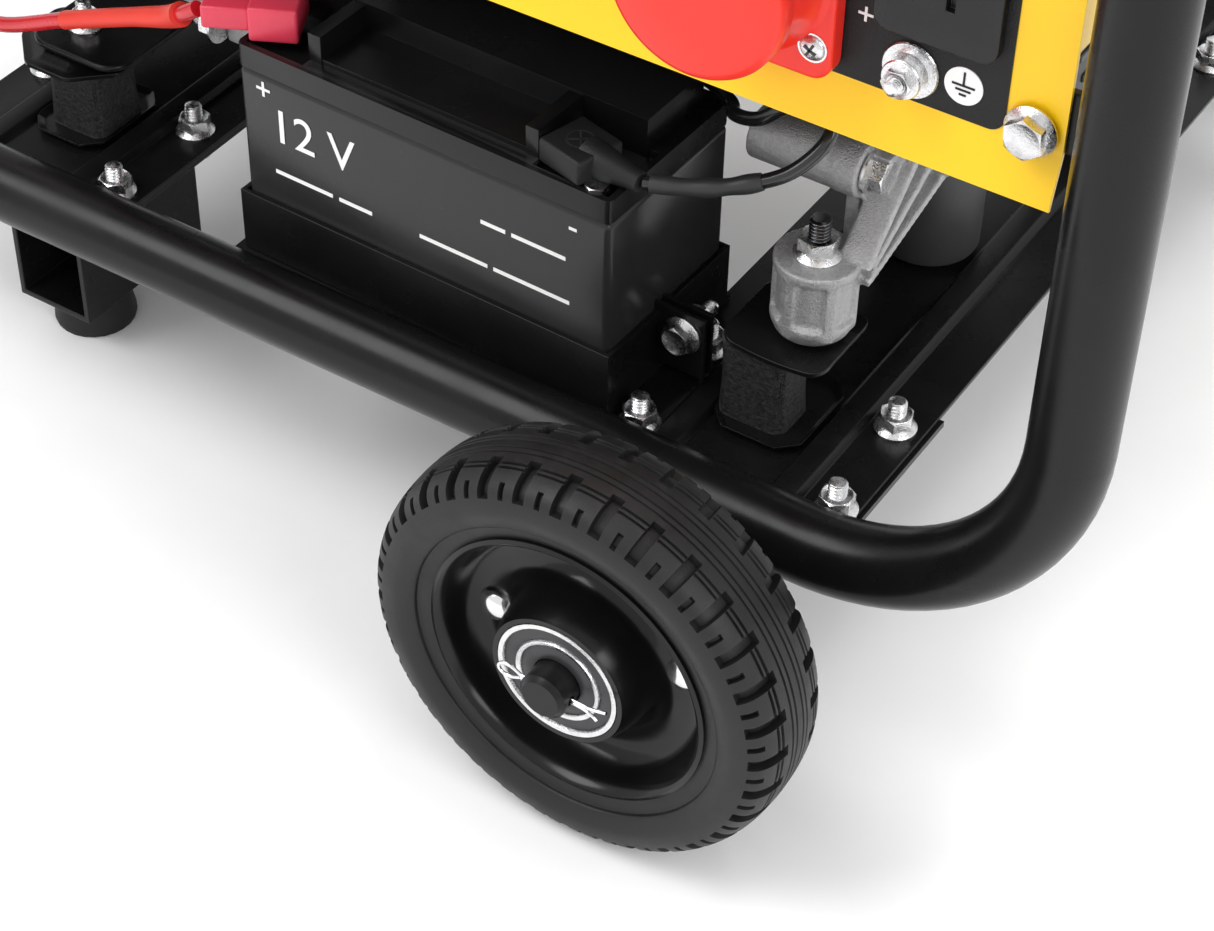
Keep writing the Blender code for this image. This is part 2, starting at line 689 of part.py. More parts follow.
def build_mount(name, x, y):
    base, top = RAIL_Z + GAP, MOUNT_TOP_Z
    outward = math.copysign(1, y - CRANK_Y)
    if x > 0:
        upper_at, upper, upper_corner = (x, y + outward * MOUNT_PLATE_SHIFT), (0.0230, 0.0210), 0.004
        lower_at, lower = (0.1800, y), (0.0200, 0.0258)
        block_at, block_half = (0.1745, y + outward * 0.0050), (0.0160, 0.0125)
    else:
        upper_at, upper, upper_corner = (x, y), (0.0290, 0.0290), 0.009
        lower_at, lower = (x, y), (0.0198, 0.0260)
        block_at, block_half = (x, y), (0.0155, 0.0155)
    bm = add_prism(bmesh.new(), chamfered(*lower_at, lower, 0.008), "z", base, base + 0.0035)
    mount = placed(name, bm, "rubber")
    fuse(mount, add_prism(bmesh.new(), chamfered(*block_at, block_half, 0.002), "z", base + 0.002, top - 0.002))
    upper_plate = chamfered(*upper_at, upper, upper_corner)
    fuse(mount, add_prism(bmesh.new(), upper_plate, "z", top - 0.0045, top - GAP))


def chamfered(x, y, half, corner):
    """An octagon around a point, half[0] wide and half[1] deep each way."""
    a, b = half
    pairs = [(a, -b + corner), (a, b - corner), (a - corner, b), (-a + corner, b)]
    pairs += [(-a, b - corner), (-a, -b + corner), (-a + corner, -b), (a - corner, -b)]
    return [(x + dx, y + dy) for dx, dy in pairs]


# Alternator ---------------------------------------------------------------------------------------------------


def build_alternator():
    crank = (0, CRANK_Y, CRANK_Z)
    start, end = CASE_X[1] + GAP, BELL_X[0] - GAP
    ring = [(ROTOR_R + 0.002, start), (STATOR_R, start), (STATOR_R, end), (ROTOR_R + 0.002, end)]
    placed("alternator_stator", add_turned(bmesh.new(), ring, crank, "x", 32), "dark_steel")
    build_end_bracket()
    cap_in, cap_out = BELL_X[1] + GAP, BELL_X[1] + 0.042
    cap = [
        (0, cap_out),
        (0.070, cap_out),
        (0.084, cap_out - 0.010),
        (0.086, cap_in),
        (0.083, cap_in),
        (0.081, cap_out - 0.012),
        (0.068, cap_out - 0.003),
        (0, cap_out - 0.003),
    ]
    placed("alternator_end_cover", add_turned(bmesh.new(), cap, crank, "x", 28), "black_plastic")
    shaft, wheel_face = 0.0125, SHROUD_X[0] + 0.010
    rotor = [
        (0, wheel_face),
        (0.088, wheel_face),
        (0.088, wheel_face + 0.030),
        (0.030, wheel_face + 0.034),
        (shaft, wheel_face + 0.034),
        (shaft, CASE_X[1] + 0.020),
        (ROTOR_R, CASE_X[1] + 0.020),
        (ROTOR_R, BELL_X[0] - 0.020),
        (shaft, BELL_X[0] - 0.020),
        (shaft, BELL_X[1] + 0.006),
        (0, BELL_X[1] + 0.006),
    ]
    spin = Vector((0, CRANK_Y, CRANK_Z))
    placed("rotor_and_crankshaft", add_turned(bmesh.new(), rotor, spin, "x", 24), "steel", spin)


def build_end_bracket():
    """The cast end bracket: a disc around the rear bearing with two ribbed arms, feet and through-bolt bosses."""
    low, high = BELL_X
    crank = (0, CRANK_Y, CRANK_Z)
    disc = [(0.0130, low), (0.110, low), (0.110, high), (0.0130, high)]
    bracket = placed("alternator_end_bracket", add_turned(bmesh.new(), disc, crank, "x", 32), "cast_aluminium")
    for side in (-1, 1):
        foot_y = CRANK_Y + side * BRACKET_FOOT[1]
        foot = [(0, MOUNT_TOP_Z), (0.0150, MOUNT_TOP_Z), (0.0172, 0.1520), (0.0172, FOOT_TOP_Z), (0, FOOT_TOP_Z)]
        fuse(bracket, add_turned(bmesh.new(), foot, (BRACKET_FOOT[0], foot_y, 0), "z", 24))
        inward = -side
        arm = [
            (foot_y + inward * 0.004, 0.1710),
            (foot_y + inward * 0.068, 0.1890),
            (foot_y + inward * 0.060, 0.2380),
            (foot_y + inward * 0.004, 0.1815),
        ]
        if side > 0:
            arm = arm[::-1]
        fuse(bracket, add_prism(bmesh.new(), arm, "x", low + 0.0010, high - 0.0010))
        boss_y = CRANK_Y + side * 0.1030
        near, far = boss_y - 0.008, boss_y + 0.008
        web = [(near, 0.1780), (far, 0.1780), (far, 0.2080), (near, 0.2080)]
        fuse(bracket, add_prism(bmesh.new(), web, "x", BOSS_X[1] - 0.0060, BOSS_X[1] - 0.0010))
        for z in (CRANK_Z - BOSS_DROP, CRANK_Z + BOSS_DROP):
            ends = ((BOSS_X[0], boss_y, z), (BOSS_X[1] + 0.0012, boss_y, z))
            fuse(bracket, add_rod(bmesh.new(), *ends, 0.0115, 20))
        tie = [(boss_y, CRANK_Z + BOSS_DROP - 0.009), (CRANK_Y, CRANK_Z + BOSS_DROP - 0.009)]
        tie += [(CRANK_Y, CRANK_Z + BOSS_DROP + 0.009), (boss_y, CRANK_Z + BOSS_DROP + 0.009)]
        fuse(bracket, add_prism(bmesh.new(), tie, "x", low + 0.0020, high - 0.0020))


# Engine -------------------------------------------------------------------------------------------------------


def build_engine():
    crank = Vector((0, CRANK_Y, CRANK_Z))
    beam_z = (MOUNT_TOP_Z + GAP, 0.1760)
    beam = placed(
        "engine_base_beam",
        add_box(
            bmesh.new(),
            (-0.1990, MOUNT_YS[0] - 0.022, beam_z[0]),
            (-0.1450, MOUNT_YS[1] + 0.022, beam_z[1]),
        ),
        "black_paint",
        smooth=False,
    )
    low, high = MOUNT_YS[0] - 0.022, MOUNT_YS[1] + 0.022
    cut(beam, add_box(bmesh.new(), (-0.1950, low - 0.01, beam_z[0] + 0.004), (-0.1490, low + 0.045, 0.2000)))
    cut(beam, add_box(bmesh.new(), (-0.1950, high - 0.045, beam_z[0] + 0.004), (-0.1490, high + 0.01, 0.2000)))
    case = placed(
        "crankcase",
        add_prism(bmesh.new(), rounded_outline((-0.124, 0.1765), (0.075, 0.352), 0.030, 4), "x", *CASE_X),
        "cast_aluminium",
    )
    cut(case, add_rod(bmesh.new(), (CASE_X[0] - 0.01, *crank.yz), (CASE_X[1] + 0.01, *crank.yz), 0.0150, 24))
    cut(case, along_cylinder(add_box(bmesh.new(), (-0.30, CYLINDER_START - 0.0070, -0.20), (0.0, 0.30, 0.20))))
    neck = [(-0.1500, 0.2050), (-0.1200, 0.2000), (-0.1200, 0.2400), (-0.1500, 0.2260)]
    fuse(case, add_prism(bmesh.new(), neck, "x", -0.0900, -0.0640))
    build_cylinder()
    shroud = [
        (0.034, SHROUD_X[0]),
        (0.104, SHROUD_X[0]),
        (0.112, SHROUD_X[0] + 0.008),
        (0.112, SHROUD_X[1]),
        (0.109, SHROUD_X[1]),
        (0.109, SHROUD_X[0] + 0.009),
        (0.102, SHROUD_X[0] + 0.003),
        (0.034, SHROUD_X[0] + 0.003),
    ]
    placed("fan_shroud", add_turned(bmesh.new(), shroud, crank, "x", 28), "black_paint")
    recoil = [
        (0, RECOIL_X[0]),
        (0.070, RECOIL_X[0]),
        (0.086, RECOIL_X[0] + 0.016),
        (0.090, RECOIL_X[1]),
        (0.087, RECOIL_X[1]),
        (0.083, RECOIL_X[0] + 0.018),
        (0.068, RECOIL_X[0] + 0.003),
        (0, RECOIL_X[0] + 0.003),
    ]
    placed("recoil_starter", add_turned(bmesh.new(), recoil, crank, "x", 28), "black_plastic")
    grip_at = Vector((RECOIL_X[0] - 0.0100, CRANK_Y - 0.050, CRANK_Z + 0.036))
    grip = add_rod(bmesh.new(), grip_at - Vector((0, 0.030, 0)), grip_at + Vector((0, 0.030, 0)), 0.0080, 16)
    handle = placed("recoil_handle", grip, "black_plastic", grip_at)
    stem_end = grip_at + Vector((0.0100 - 2 * GAP, 0, 0))
    fuse(handle, add_rod(bmesh.new(), grip_at + Vector((0.003, 0, 0)), stem_end, 0.0065, 12))
    build_intake()
    build_exhaust()
    build_starter()
    stick = [(0, 0), (0.0105, 0), (0.0105, 0.012), (0.0060, 0.016), (0, 0.016)]
    cap_at = Vector((-0.0770, -0.1503, 0.2155))
    placed(
        "dipstick",
        add_turned(bmesh.new(), [(r, -along) for r, along in stick], cap_at, "y", 16),
        "black_plastic",
        cap_at,
    )


def along_cylinder(bm):
    """Turns a shape built with the cylinder's axis along Y into its place on the tilted engine."""
    turn = Matrix.Translation((0, CRANK_Y, CRANK_Z)) @ Matrix.Rotation(CYLINDER_TILT, 4, "X")
    bmesh.ops.transform(bm, matrix=turn, verts=bm.verts)
    return bm


def build_cylinder():
    """The air-cooled cylinder and head, with fins across its axis, and the pressed rocker cover."""
    fin_reach, core_reach, fins, pitch = 0.058, 0.046, 9, 0.0125
    start = CYLINDER_START
    edge = []
    for i in range(fins):
        near = start + i * pitch
        edge += [(near, fin_reach), (near + 0.0040, fin_reach)]
        if i + 1 < fins:
            edge += [(near + 0.0040, core_reach), (near + pitch, core_reach)]
    outline = edge + [(along, -reach) for along, reach in edge[::-1]]
    barrel = along_cylinder(add_prism(bmesh.new(), outline, "x", -0.1750, -0.0600))
    block = placed("finned_cylinder", barrel, "cast_aluminium")
    neck = add_box(bmesh.new(), (-0.1600, start - 0.0067, -0.040), (-0.0750, start + 0.002, 0.040))
    neck = along_cylinder(neck)
    fuse(block, neck)
    end = start + (fins - 1) * pitch + 0.0040
    cover = along_cylinder(
        add_box(bmesh.new(), (-0.1650, end + GAP, -0.0400), (-0.0700, end + 0.0280, 0.0400))
    )
    soften(placed("rocker_cover", cover, "steel", smooth=False), 0.008, 2)


def build_intake():
    """The air filter case, the carburettor between it and the cylinder head, and the choke lever."""
    case = add_box(bmesh.new(), (-0.3000, -0.2000, 0.3870), (-0.1250, -0.0800, 0.4520))
    soften(placed("air_filter", case, "black_plastic", smooth=False), 0.012, 3)
    at = Vector((-0.1400, -0.0400, 0.4200))
    body = add_box(bmesh.new(), (-0.1650, -0.0797, 0.4000), (-0.1150, -0.0050, 0.4450))
    carburettor = placed("carburettor", body, "cast_aluminium", smooth=False)
    fuse(carburettor, add_rod(bmesh.new(), (at.x, -0.045, 0.3760), (at.x, -0.045, 0.4050), 0.0190, 20))
    fuse(carburettor, add_box(bmesh.new(), (-0.1600, -0.0150, 0.4020), (-0.1200, 0.0350, 0.4430)))
    fuse(carburettor, add_box(bmesh.new(), (-0.1550, 0.0250, 0.3850), (-0.1250, 0.0440, 0.4400)))
    pivot = Vector((-0.1653, -0.0600, 0.4330))
    boss = add_rod(bmesh.new(), pivot, pivot + Vector((-0.005, 0, 0)), 0.0070, 16)
    lever = placed("choke_lever", boss, "zinc", pivot)
    arm = [(-0.0640, 0.4340), (-0.0560, 0.4340), (-0.0570, 0.4680), (-0.0630, 0.4680)]
    fuse(lever, add_prism(bmesh.new(), arm, "x", pivot.x - 0.0042, pivot.x - 0.0012))


def build_exhaust():
    """A box muffler behind the alternator, with its pipe to the cylinder head."""
    low, high = (0.0000, 0.0950, 0.2900), (0.2300, 0.2050, 0.4050)
    muffler = add_prism(bmesh.new(), rounded_outline(low[1:], high[1:], 0.035, 5), "x", low[0], high[0])
    body = placed("muffler", muffler, "steel")
    pipe = add_rod(bmesh.new(), (-0.0595, 0.1450, 0.3650), (0.004, 0.1450, 0.3650), 0.0130, 16)
    fuse(body, pipe)
    fuse(body, add_rod(bmesh.new(), (0.2280, 0.1500, 0.3300), (0.2500, 0.1500, 0.3300), 0.0120, 16))


def build_starter():
    """The electric starter along the front of the crankcase, with its solenoid on top."""
    y, z = -0.1665, 0.2900
    motor = add_rod(bmesh.new(), (-0.1960, y, z), (-0.1100, y, z), 0.0300, 24)
    starter = placed("starter_motor", motor, "black_paint")
    fuse(starter, add_rod(bmesh.new(), (-0.1900, y, z + 0.040), (-0.1300, y, z + 0.040), 0.0150, 20))
    fuse(starter, add_box(bmesh.new(), (-0.1980, y - 0.020, z - 0.028), (-0.1900, y + 0.0360, z + 0.052)))


# Fuel ---------------------------------------------------------------------------------------------------------


def build_tank():
    """A pressed steel tank with a seam around its middle, a filler cap and a tap below."""
    (half_x, half_y), (bottom, top) = TANK_HALF, TANK_Z
    shell = add_prism(bmesh.new(), rounded_outline((-0.205, -0.165), (0.205, 0.165), 0.045, 5), "z", bottom, top)
    tank = soften(placed("fuel_tank", shell, "yellow_paint"), 0.018, 3)
    seam = rounded_outline((-half_x, -half_y), (half_x, half_y), 0.055, 5)
    fuse(tank, add_prism(bmesh.new(), seam, "z", SEAM_Z, SEAM_Z + 0.003))
    fuse(tank, add_rod(bmesh.new(), (CAP_X, 0, top - 0.010), (CAP_X, 0, top + 0.006), 0.0300, 32))
    cap_at = Vector((CAP_X, 0, top + 0.006 + GAP))
    cap = [(0, 0), (0.0370, 0), (0.0380, 0.003), (0.0360, 0.020), (0, 0.022)]
    placed("fuel_cap", add_turned(bmesh.new(), cap, cap_at, "z", 24), "black_plastic", cap_at)
    tap_x, tap_y, tap_r = -0.1900, -0.0400, 0.0090
    fuse(tank, add_rod(bmesh.new(), (tap_x, tap_y, bottom + 0.004), (tap_x, tap_y, bottom - 0.0160), tap_r, 16))
    tap_at = Vector((tap_x, tap_y - tap_r - GAP, bottom - 0.0090))
    boss = add_rod(bmesh.new(), tap_at, tap_at + Vector((0, -0.006, 0)), 0.0070, 16)
    tap = placed("fuel_valve_lever", boss, "black_plastic", tap_at)
    low, high = tap_at + Vector((-0.026, -0.0055, -0.0035)), tap_at + Vector((0.0, -0.0005, 0.0035))
    fuse(tap, add_box(bmesh.new(), low, high))


# Control panel ------------------------------------------------------------------------------------------------


def build_panel():
    """A yellow sheet panel with a flared lower lip, its closed box behind it, and the controls on its face."""
    (x0, x1), (z0, z1), sheet = PANEL_X, PANEL_Z, 0.0015
    path = [
        (PANEL_Y - 0.0048, LIP_Z),
        (PANEL_Y, z0),
        (PANEL_Y, z1),
        (PANEL_Y + 0.022, z1),
    ]
    bm = add_prism(bmesh.new(), sheet_outline(path, -sheet), "x", x0, x1)
    panel = placed("control_panel", bm, "yellow_paint")
    low, high = (x1 - sheet, PANEL_Y + 0.0004, z0 + 0.040), (x1 - 0.0002, PANEL_Y + 0.020, z1 - 0.030)
    fuse(panel, add_box(bmesh.new(), low, high))
    back = PANEL_Y + sheet + GAP
    outer = add_box(bmesh.new(), (x0 + 0.010, back, z0 + 0.004), (x1 - 0.025, BOX_BACK_Y, z1 - sheet - GAP))
    box = placed("control_box", outer, "black_paint", smooth=False)
    low, high = (x0 + 0.012, back - 0.01, z0 + 0.006), (x1 - 0.027, BOX_BACK_Y - 0.002, z1 - 0.004)
    cut(box, add_box(bmesh.new(), low, high))
    build_three_phase_socket()
    build_outlets()
    build_controls()


def build_three_phase_socket():
    """A red three-phase socket: a square flange, a round body and a sprung lid hinged along its top."""
    front = PANEL_Y - GAP
    flange = rounded_outline((SOCKET_X - 0.038, SOCKET_Z - 0.039), (SOCKET_X + 0.038, SOCKET_Z + 0.039), 0.008, 4)
    bm = add_prism(bmesh.new(), flange, "y", front - 0.009, front)
    socket = placed("three_phase_socket", bm, "red_plastic")
    body = [(0.0, 0.006), (0.0, 0.029), (0.0300, 0.029), (0.0310, 0.006)]
    body = [(r, front - along) for r, along in body]
    fuse(socket, add_turned(bmesh.new(), body, (SOCKET_X, 0, SOCKET_Z), "y", 32))
    well = [(0, -0.3), (0.0265, -0.3), (0.0265, front - 0.012), (0, front - 0.012)]
    cut(socket, add_turned(bmesh.new(), well, (SOCKET_X, 0, SOCKET_Z), "y", 32))
    pivot = Vector((SOCKET_X, front - 0.0300, SOCKET_Z + 0.0380))
    face = front - 0.0290 - GAP
    disc = [(0, face), (0.0335, face), (0.0335, face - 0.007), (0.0305, face - 0.010), (0, face - 0.010)]
    round_lid = add_turned(bmesh.new(), disc, (SOCKET_X, 0, SOCKET_Z), "y", 32)
    lid = placed("three_phase_lid", round_lid, "red_plastic", pivot)
    low = (SOCKET_X - 0.010, face - 0.007, SOCKET_Z + 0.025)
    high = (SOCKET_X + 0.010, face - 0.0005, pivot.z + 0.002)
    fuse(lid, add_box(bmesh.new(), low, high))


def build_outlets():
    """A black two-pin direct-current outlet and a mains outlet, each a plate with a recess."""
    front = PANEL_Y - GAP
    plate = rounded_outline((0.2300, 0.3330), (0.2760, 0.3720), 0.006, 3)
    outlet = placed("dc_outlet", add_prism(bmesh.new(), plate, "y", front - 0.004, front), "black_plastic")
    cut(outlet, add_box(bmesh.new(), (0.2410, front - 0.02, 0.3480), (0.2440, front - 0.001, 0.3620)))
    cut(outlet, add_box(bmesh.new(), (0.2560, front - 0.02, 0.3480), (0.2590, front - 0.001, 0.3620)))
    x = MAINS_X
    ring = rounded_outline((x - 0.027, SOCKET_Z - 0.027), (x + 0.027, SOCKET_Z + 0.027), 0.006, 3)
    outlet = placed("mains_outlet", add_prism(bmesh.new(), ring, "y", front - 0.010, front), "black_plastic")
    well = [(0, front - 0.02), (0.0200, front - 0.02), (0.0200, front - 0.003), (0, front - 0.003)]
    cut(outlet, add_turned(bmesh.new(), well, (x, 0, SOCKET_Z), "y", 24))


def build_controls():
    """The breaker's toggle, the ignition key and the earth terminal."""
    front = PANEL_Y - GAP
    barrel_r, tilt, reach = 0.0050, math.radians(20), 0.0180
    pivot = Vector((BREAKER_X, front - barrel_r, CONTROLS_Z))
    ends = (pivot - Vector((0.006, 0, 0)), pivot + Vector((0.006, 0, 0)))
    toggle = placed("breaker_toggle", add_rod(bmesh.new(), *ends, barrel_r, 20), "black_plastic", pivot)
    tip = pivot + reach * Vector((0, -math.cos(tilt), math.sin(tilt)))
    fuse(toggle, add_rod(bmesh.new(), pivot, tip, 0.0022, 12, 0.0030))
    key_at = Vector((KEY_X, front, CONTROLS_Z))
    barrel = [(0, 0), (0.0110, 0), (0.0110, 0.006), (0, 0.006)]
    round_part = add_turned(bmesh.new(), [(r, -along) for r, along in barrel], key_at, "y", 24)
    key = placed("ignition_key", round_part, "zinc", key_at)
    low, high = key_at + Vector((-0.0012, -0.026, -0.010)), key_at + Vector((0.0012, -0.004, 0.010))
    fuse(key, add_box(bmesh.new(), low, high))
    stud_at = Vector((EARTH_X, front, EARTH_Z))
    steps = [(0, 0), (0.0105, 0), (0.0105, 0.0016), (0.0065, 0.0016), (0.0065, 0.0090), (0.0038, 0.0090)]
    steps += [(0.0038, 0.0150), (0, 0.0150)]
    stud = add_turned(bmesh.new(), [(r, -along) for r, along in steps], stud_at, "y", 18)
    placed("earth_terminal", stud, "zinc", stud_at)


def clear_scene():
    for obj in list(bpy.data.objects):
        bpy.data.objects.remove(obj)


def main():
    clear_scene()
    build_frame()
    for prefix, side in (("front", -1), ("rear", 1)):
        build_wheel(prefix, side)
        build_axle_bracket(f"{prefix}_axle_bracket", side)
        build_leg(prefix, side)
    build_handle()
    build_battery()
    build_leads()
    build_mounts()
    build_alternator()
    build_engine()
    build_tank()
    build_panel()


main()
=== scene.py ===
"""The generator's looks: each CAD node gets smooth edges or a stand-in, and a procedural material."""

import json
import math

import bmesh
import bpy
import numpy as np
from mathutils import Matrix, Vector


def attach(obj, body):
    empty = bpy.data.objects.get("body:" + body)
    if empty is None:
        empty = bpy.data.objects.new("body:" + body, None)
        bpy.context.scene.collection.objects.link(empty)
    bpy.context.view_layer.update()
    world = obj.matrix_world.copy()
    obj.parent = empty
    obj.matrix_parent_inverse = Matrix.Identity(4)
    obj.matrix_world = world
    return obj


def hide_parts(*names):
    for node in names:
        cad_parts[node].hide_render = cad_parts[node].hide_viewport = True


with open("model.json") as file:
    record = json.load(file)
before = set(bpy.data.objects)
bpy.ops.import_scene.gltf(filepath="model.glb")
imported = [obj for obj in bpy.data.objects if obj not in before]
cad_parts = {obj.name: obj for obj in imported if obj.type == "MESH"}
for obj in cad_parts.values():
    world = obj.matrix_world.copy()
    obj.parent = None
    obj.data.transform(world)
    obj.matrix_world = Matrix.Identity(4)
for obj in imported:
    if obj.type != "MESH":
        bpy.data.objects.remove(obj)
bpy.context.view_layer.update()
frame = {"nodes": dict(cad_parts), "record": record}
NODES = frame["nodes"]
RECORD = frame["record"]
BODY = {node: body for body, nodes in RECORD["behaviour"]["bodies"].items() for node in nodes}
SLOT = {part["node"]: part["material_slot"] for part in RECORD["subparts"]}
DONE = set()

# Places and sizes that part.py also uses
TUBE_R, FRAME_HALF_X, RAIL_Y, RAIL_Z, TOP_Z, BEND_R = 0.016, 0.3265, 0.235, 0.101, 0.609, 0.1
WHEEL_R, WHEEL_X, WHEEL_FACE_Y, TYRE_WIDTH = 0.09, 0.183, 0.34, 0.05
CROSS_X, CRANK_Y, CRANK_Z = 0.18, -0.042, 0.28
CRANK = (0, CRANK_Y, CRANK_Z)
MOUNT_YS, MOUNT_TOP_Z = (-0.173, 0.089), 0.146
BATTERY_MIDDLE, BATTERY_TURN = Vector((0.0333, -0.1713, 0.0)), math.radians(-1.65)
PANEL_FACE_Y = -0.222
GAP = 0.0003

# Shared here: the battery's printed face, the top of the mounts' lower plates, the alternator's feet and bolts
# from the crankshaft, the fuel filler and the tyres' inner radius
BATTERY_FRONT_Y = -0.21345
PLATE_Z = 0.1027
FOOT_X, FOOT_OUT = 0.1893, 0.1267
BOLT_OUT, BOLT_UP = 0.103, 0.07
FILLER_X = -0.11
TYRE_BORE_R = 0.06

# The photograph's camera, fitted to its straight edges
CAMERA_PLACE, LENS_MM, SENSOR_MM = (0.5653, -0.9205, 0.8369), 81.57, 36.0


# Materials ----------------------------------------

COAT_ROUGHNESS = 0.06
BUMP_DISTANCE = 0.0006


def link(tree, a, out, b, into):
    tree.links.new(a.outputs[out], b.inputs[into])


def surface(name, colour, roughness, metallic=0.0, coat=0.0, spread=0.1, tint=0.12, grain=900.0, bump=0.05,
        patch=22.0, wear=None, specular=0.5):
    """A Principled material with a fine grain, patches in its roughness and colour, and worn edges."""
    made = bpy.data.materials.new(name)
    made.use_nodes = True
    tree = made.node_tree
    shader = tree.nodes["Principled BSDF"]
    shader.inputs["Metallic"].default_value = metallic
    shader.inputs["Coat Weight"].default_value = coat
    shader.inputs["Coat Roughness"].default_value = COAT_ROUGHNESS
    shader.inputs["Specular IOR Level"].default_value = specular
    where = tree.nodes.new("ShaderNodeTexCoord")
    patches = tree.nodes.new("ShaderNodeTexNoise")
    patches.inputs["Scale"].default_value = patch
    patches.inputs["Detail"].default_value = 5.0
    patches.inputs["Roughness"].default_value = 0.62
    link(tree, where, "Object", patches, "Vector")
    rough = tree.nodes.new("ShaderNodeMapRange")
    rough.inputs["From Min"].default_value = 0.3
    rough.inputs["From Max"].default_value = 0.7
    rough.inputs["To Min"].default_value = max(roughness - spread, 0.02)
    rough.inputs["To Max"].default_value = min(roughness + spread, 1.0)
    link(tree, patches, "Fac", rough, "Value")
    link(tree, rough, "Result", shader, "Roughness")
    ramp = tree.nodes.new("ShaderNodeValToRGB")
    dark = [c * (1 - tint) for c in colour]
    light = [min(c * (1 + tint) + 0.002, 1.0) for c in colour]
    ramp.color_ramp.elements[0].position = 0.28
    ramp.color_ramp.elements[0].color = (*dark, 1.0)
    ramp.color_ramp.elements[1].position = 0.74
    ramp.color_ramp.elements[1].color = (*light, 1.0)
    link(tree, patches, "Fac", ramp, "Fac")
    last = ramp
    if wear:
        geometry = tree.nodes.new("ShaderNodeNewGeometry")
        edge = tree.nodes.new("ShaderNodeMapRange")
        edge.inputs["From Min"].default_value = 0.54
        edge.inputs["From Max"].default_value = 0.66
        edge.inputs["To Max"].default_value = wear[1]
        link(tree, geometry, "Pointiness", edge, "Value")
        mix = tree.nodes.new("ShaderNodeMixRGB")
        mix.inputs["Color2"].default_value = (*wear[0], 1.0)
        link(tree, edge, "Result", mix, "Fac")
        link(tree, ramp, "Color", mix, "Color1")
        last = mix
    link(tree, last, "Color", shader, "Base Color")
    fine = tree.nodes.new("ShaderNodeTexNoise")
    fine.inputs["Scale"].default_value = grain
    fine.inputs["Detail"].default_value = 3.0
    link(tree, where, "Object", fine, "Vector")
    height = tree.nodes.new("ShaderNodeBump")
    height.inputs["Strength"].default_value = bump
    height.inputs["Distance"].default_value = BUMP_DISTANCE
    link(tree, fine, "Fac", height, "Height")
    link(tree, height, "Normal", shader, "Normal")
    return made


LOOKS = {
    "black_paint": surface("gloss_black_coat", (0.0045, 0.0045, 0.0048), 0.27, spread=0.07, specular=0.23,
        grain=260.0, wear=((0.02, 0.02, 0.02), 0.4)),
    "yellow_paint": surface("yellow_enamel", (0.92, 0.56, 0.006), 0.34, coat=0.2, spread=0.06, tint=0.02,
        specular=0.3, grain=300.0, wear=((1.0, 0.72, 0.12), 0.35)),
    "zinc": surface("bright_zinc", (0.66, 0.66, 0.67), 0.26, metallic=1.0, spread=0.12, tint=0.22,
        grain=1400.0, bump=0.3, patch=260.0, wear=((0.95, 0.95, 0.95), 0.8)),
    "cast_aluminium": surface("sand_cast_aluminium", (0.43, 0.43, 0.435), 0.46, metallic=0.75, spread=0.12,
        tint=0.22, grain=1500.0, bump=1.0, patch=700.0, wear=((0.92, 0.92, 0.93), 1.0)),
    "rubber": surface("moulded_rubber", (0.009, 0.009, 0.0095), 0.55, specular=0.3, spread=0.12, grain=1500.0,
        bump=0.35, wear=((0.05, 0.05, 0.05), 0.5)),
    "tyre_rubber": surface("tyre_compound", (0.008, 0.008, 0.0084), 0.48, tint=0.22, grain=1300.0, bump=0.16,
        patch=60.0, wear=((0.05, 0.05, 0.05), 0.6), specular=0.34),
    "black_plastic": surface("black_moulding", (0.008, 0.008, 0.0085), 0.32, spread=0.08, grain=1100.0,
        bump=0.12, specular=0.3, wear=((0.06, 0.06, 0.06), 0.4)),
    "red_plastic": surface("red_moulding", (0.8, 0.024, 0.013), 0.36, coat=0.1, specular=0.35, spread=0.08,
        tint=0.04, bump=0.08, wear=((1.0, 0.16, 0.11), 0.4)),
    "boot_red": surface("red_rubber", (0.66, 0.035, 0.075), 0.4, tint=0.1, grain=700.0, bump=0.12,
        wear=((0.85, 0.14, 0.18), 0.5)),
    "steel": surface("rolled_steel", (0.36, 0.35, 0.34), 0.36, metallic=1.0, spread=0.14, tint=0.18,
        grain=1200.0, bump=0.2, patch=40.0),
    "dark_steel": surface("lacquered_laminations", (0.055, 0.055, 0.06), 0.45, metallic=0.8, spread=0.12,
        tint=0.3, grain=1500.0, bump=0.3, wear=((0.2, 0.2, 0.2), 0.6)),
}
BATTERY_CASE = surface("battery_moulding", (0.017, 0.017, 0.0175), 0.22, specular=0.32, spread=0.07, tint=0.1,
    grain=1400.0, bump=0.1, wear=((0.1, 0.1, 0.1), 0.35))
BATTERY_LID = surface("battery_lid_moulding", (0.0055, 0.0055, 0.006), 0.24, specular=0.28, spread=0.07,
    grain=1400.0, bump=0.1, wear=((0.08, 0.08, 0.08), 0.45))
MOUNT_RUBBER = surface("coarse_mount_rubber", (0.018, 0.018, 0.018), 0.6, spread=0.16, tint=0.5, grain=620.0,
    bump=1.0, patch=500.0, wear=((0.09, 0.09, 0.09), 0.9))
GREY_RUBBER = surface("grey_stop_rubber", (0.034, 0.034, 0.036), 0.5, bump=0.15)
SLEEVE_RED = surface("red_shrink_sleeve", (0.64, 0.028, 0.012), 0.42, tint=0.08, grain=500.0, bump=0.14)
SLEEVE_BLACK = surface("black_shrink_sleeve", (0.02, 0.02, 0.021), 0.46, grain=600.0, bump=0.12)
CABLE_RED = surface("red_cable_jacket", (0.52, 0.01, 0.018), 0.26, coat=0.3, spread=0.06, grain=500.0,
    bump=0.06)
CABLE_BLACK = surface("black_cable_jacket", (0.008, 0.008, 0.009), 0.24, coat=0.3, spread=0.06, grain=500.0,
    bump=0.06)
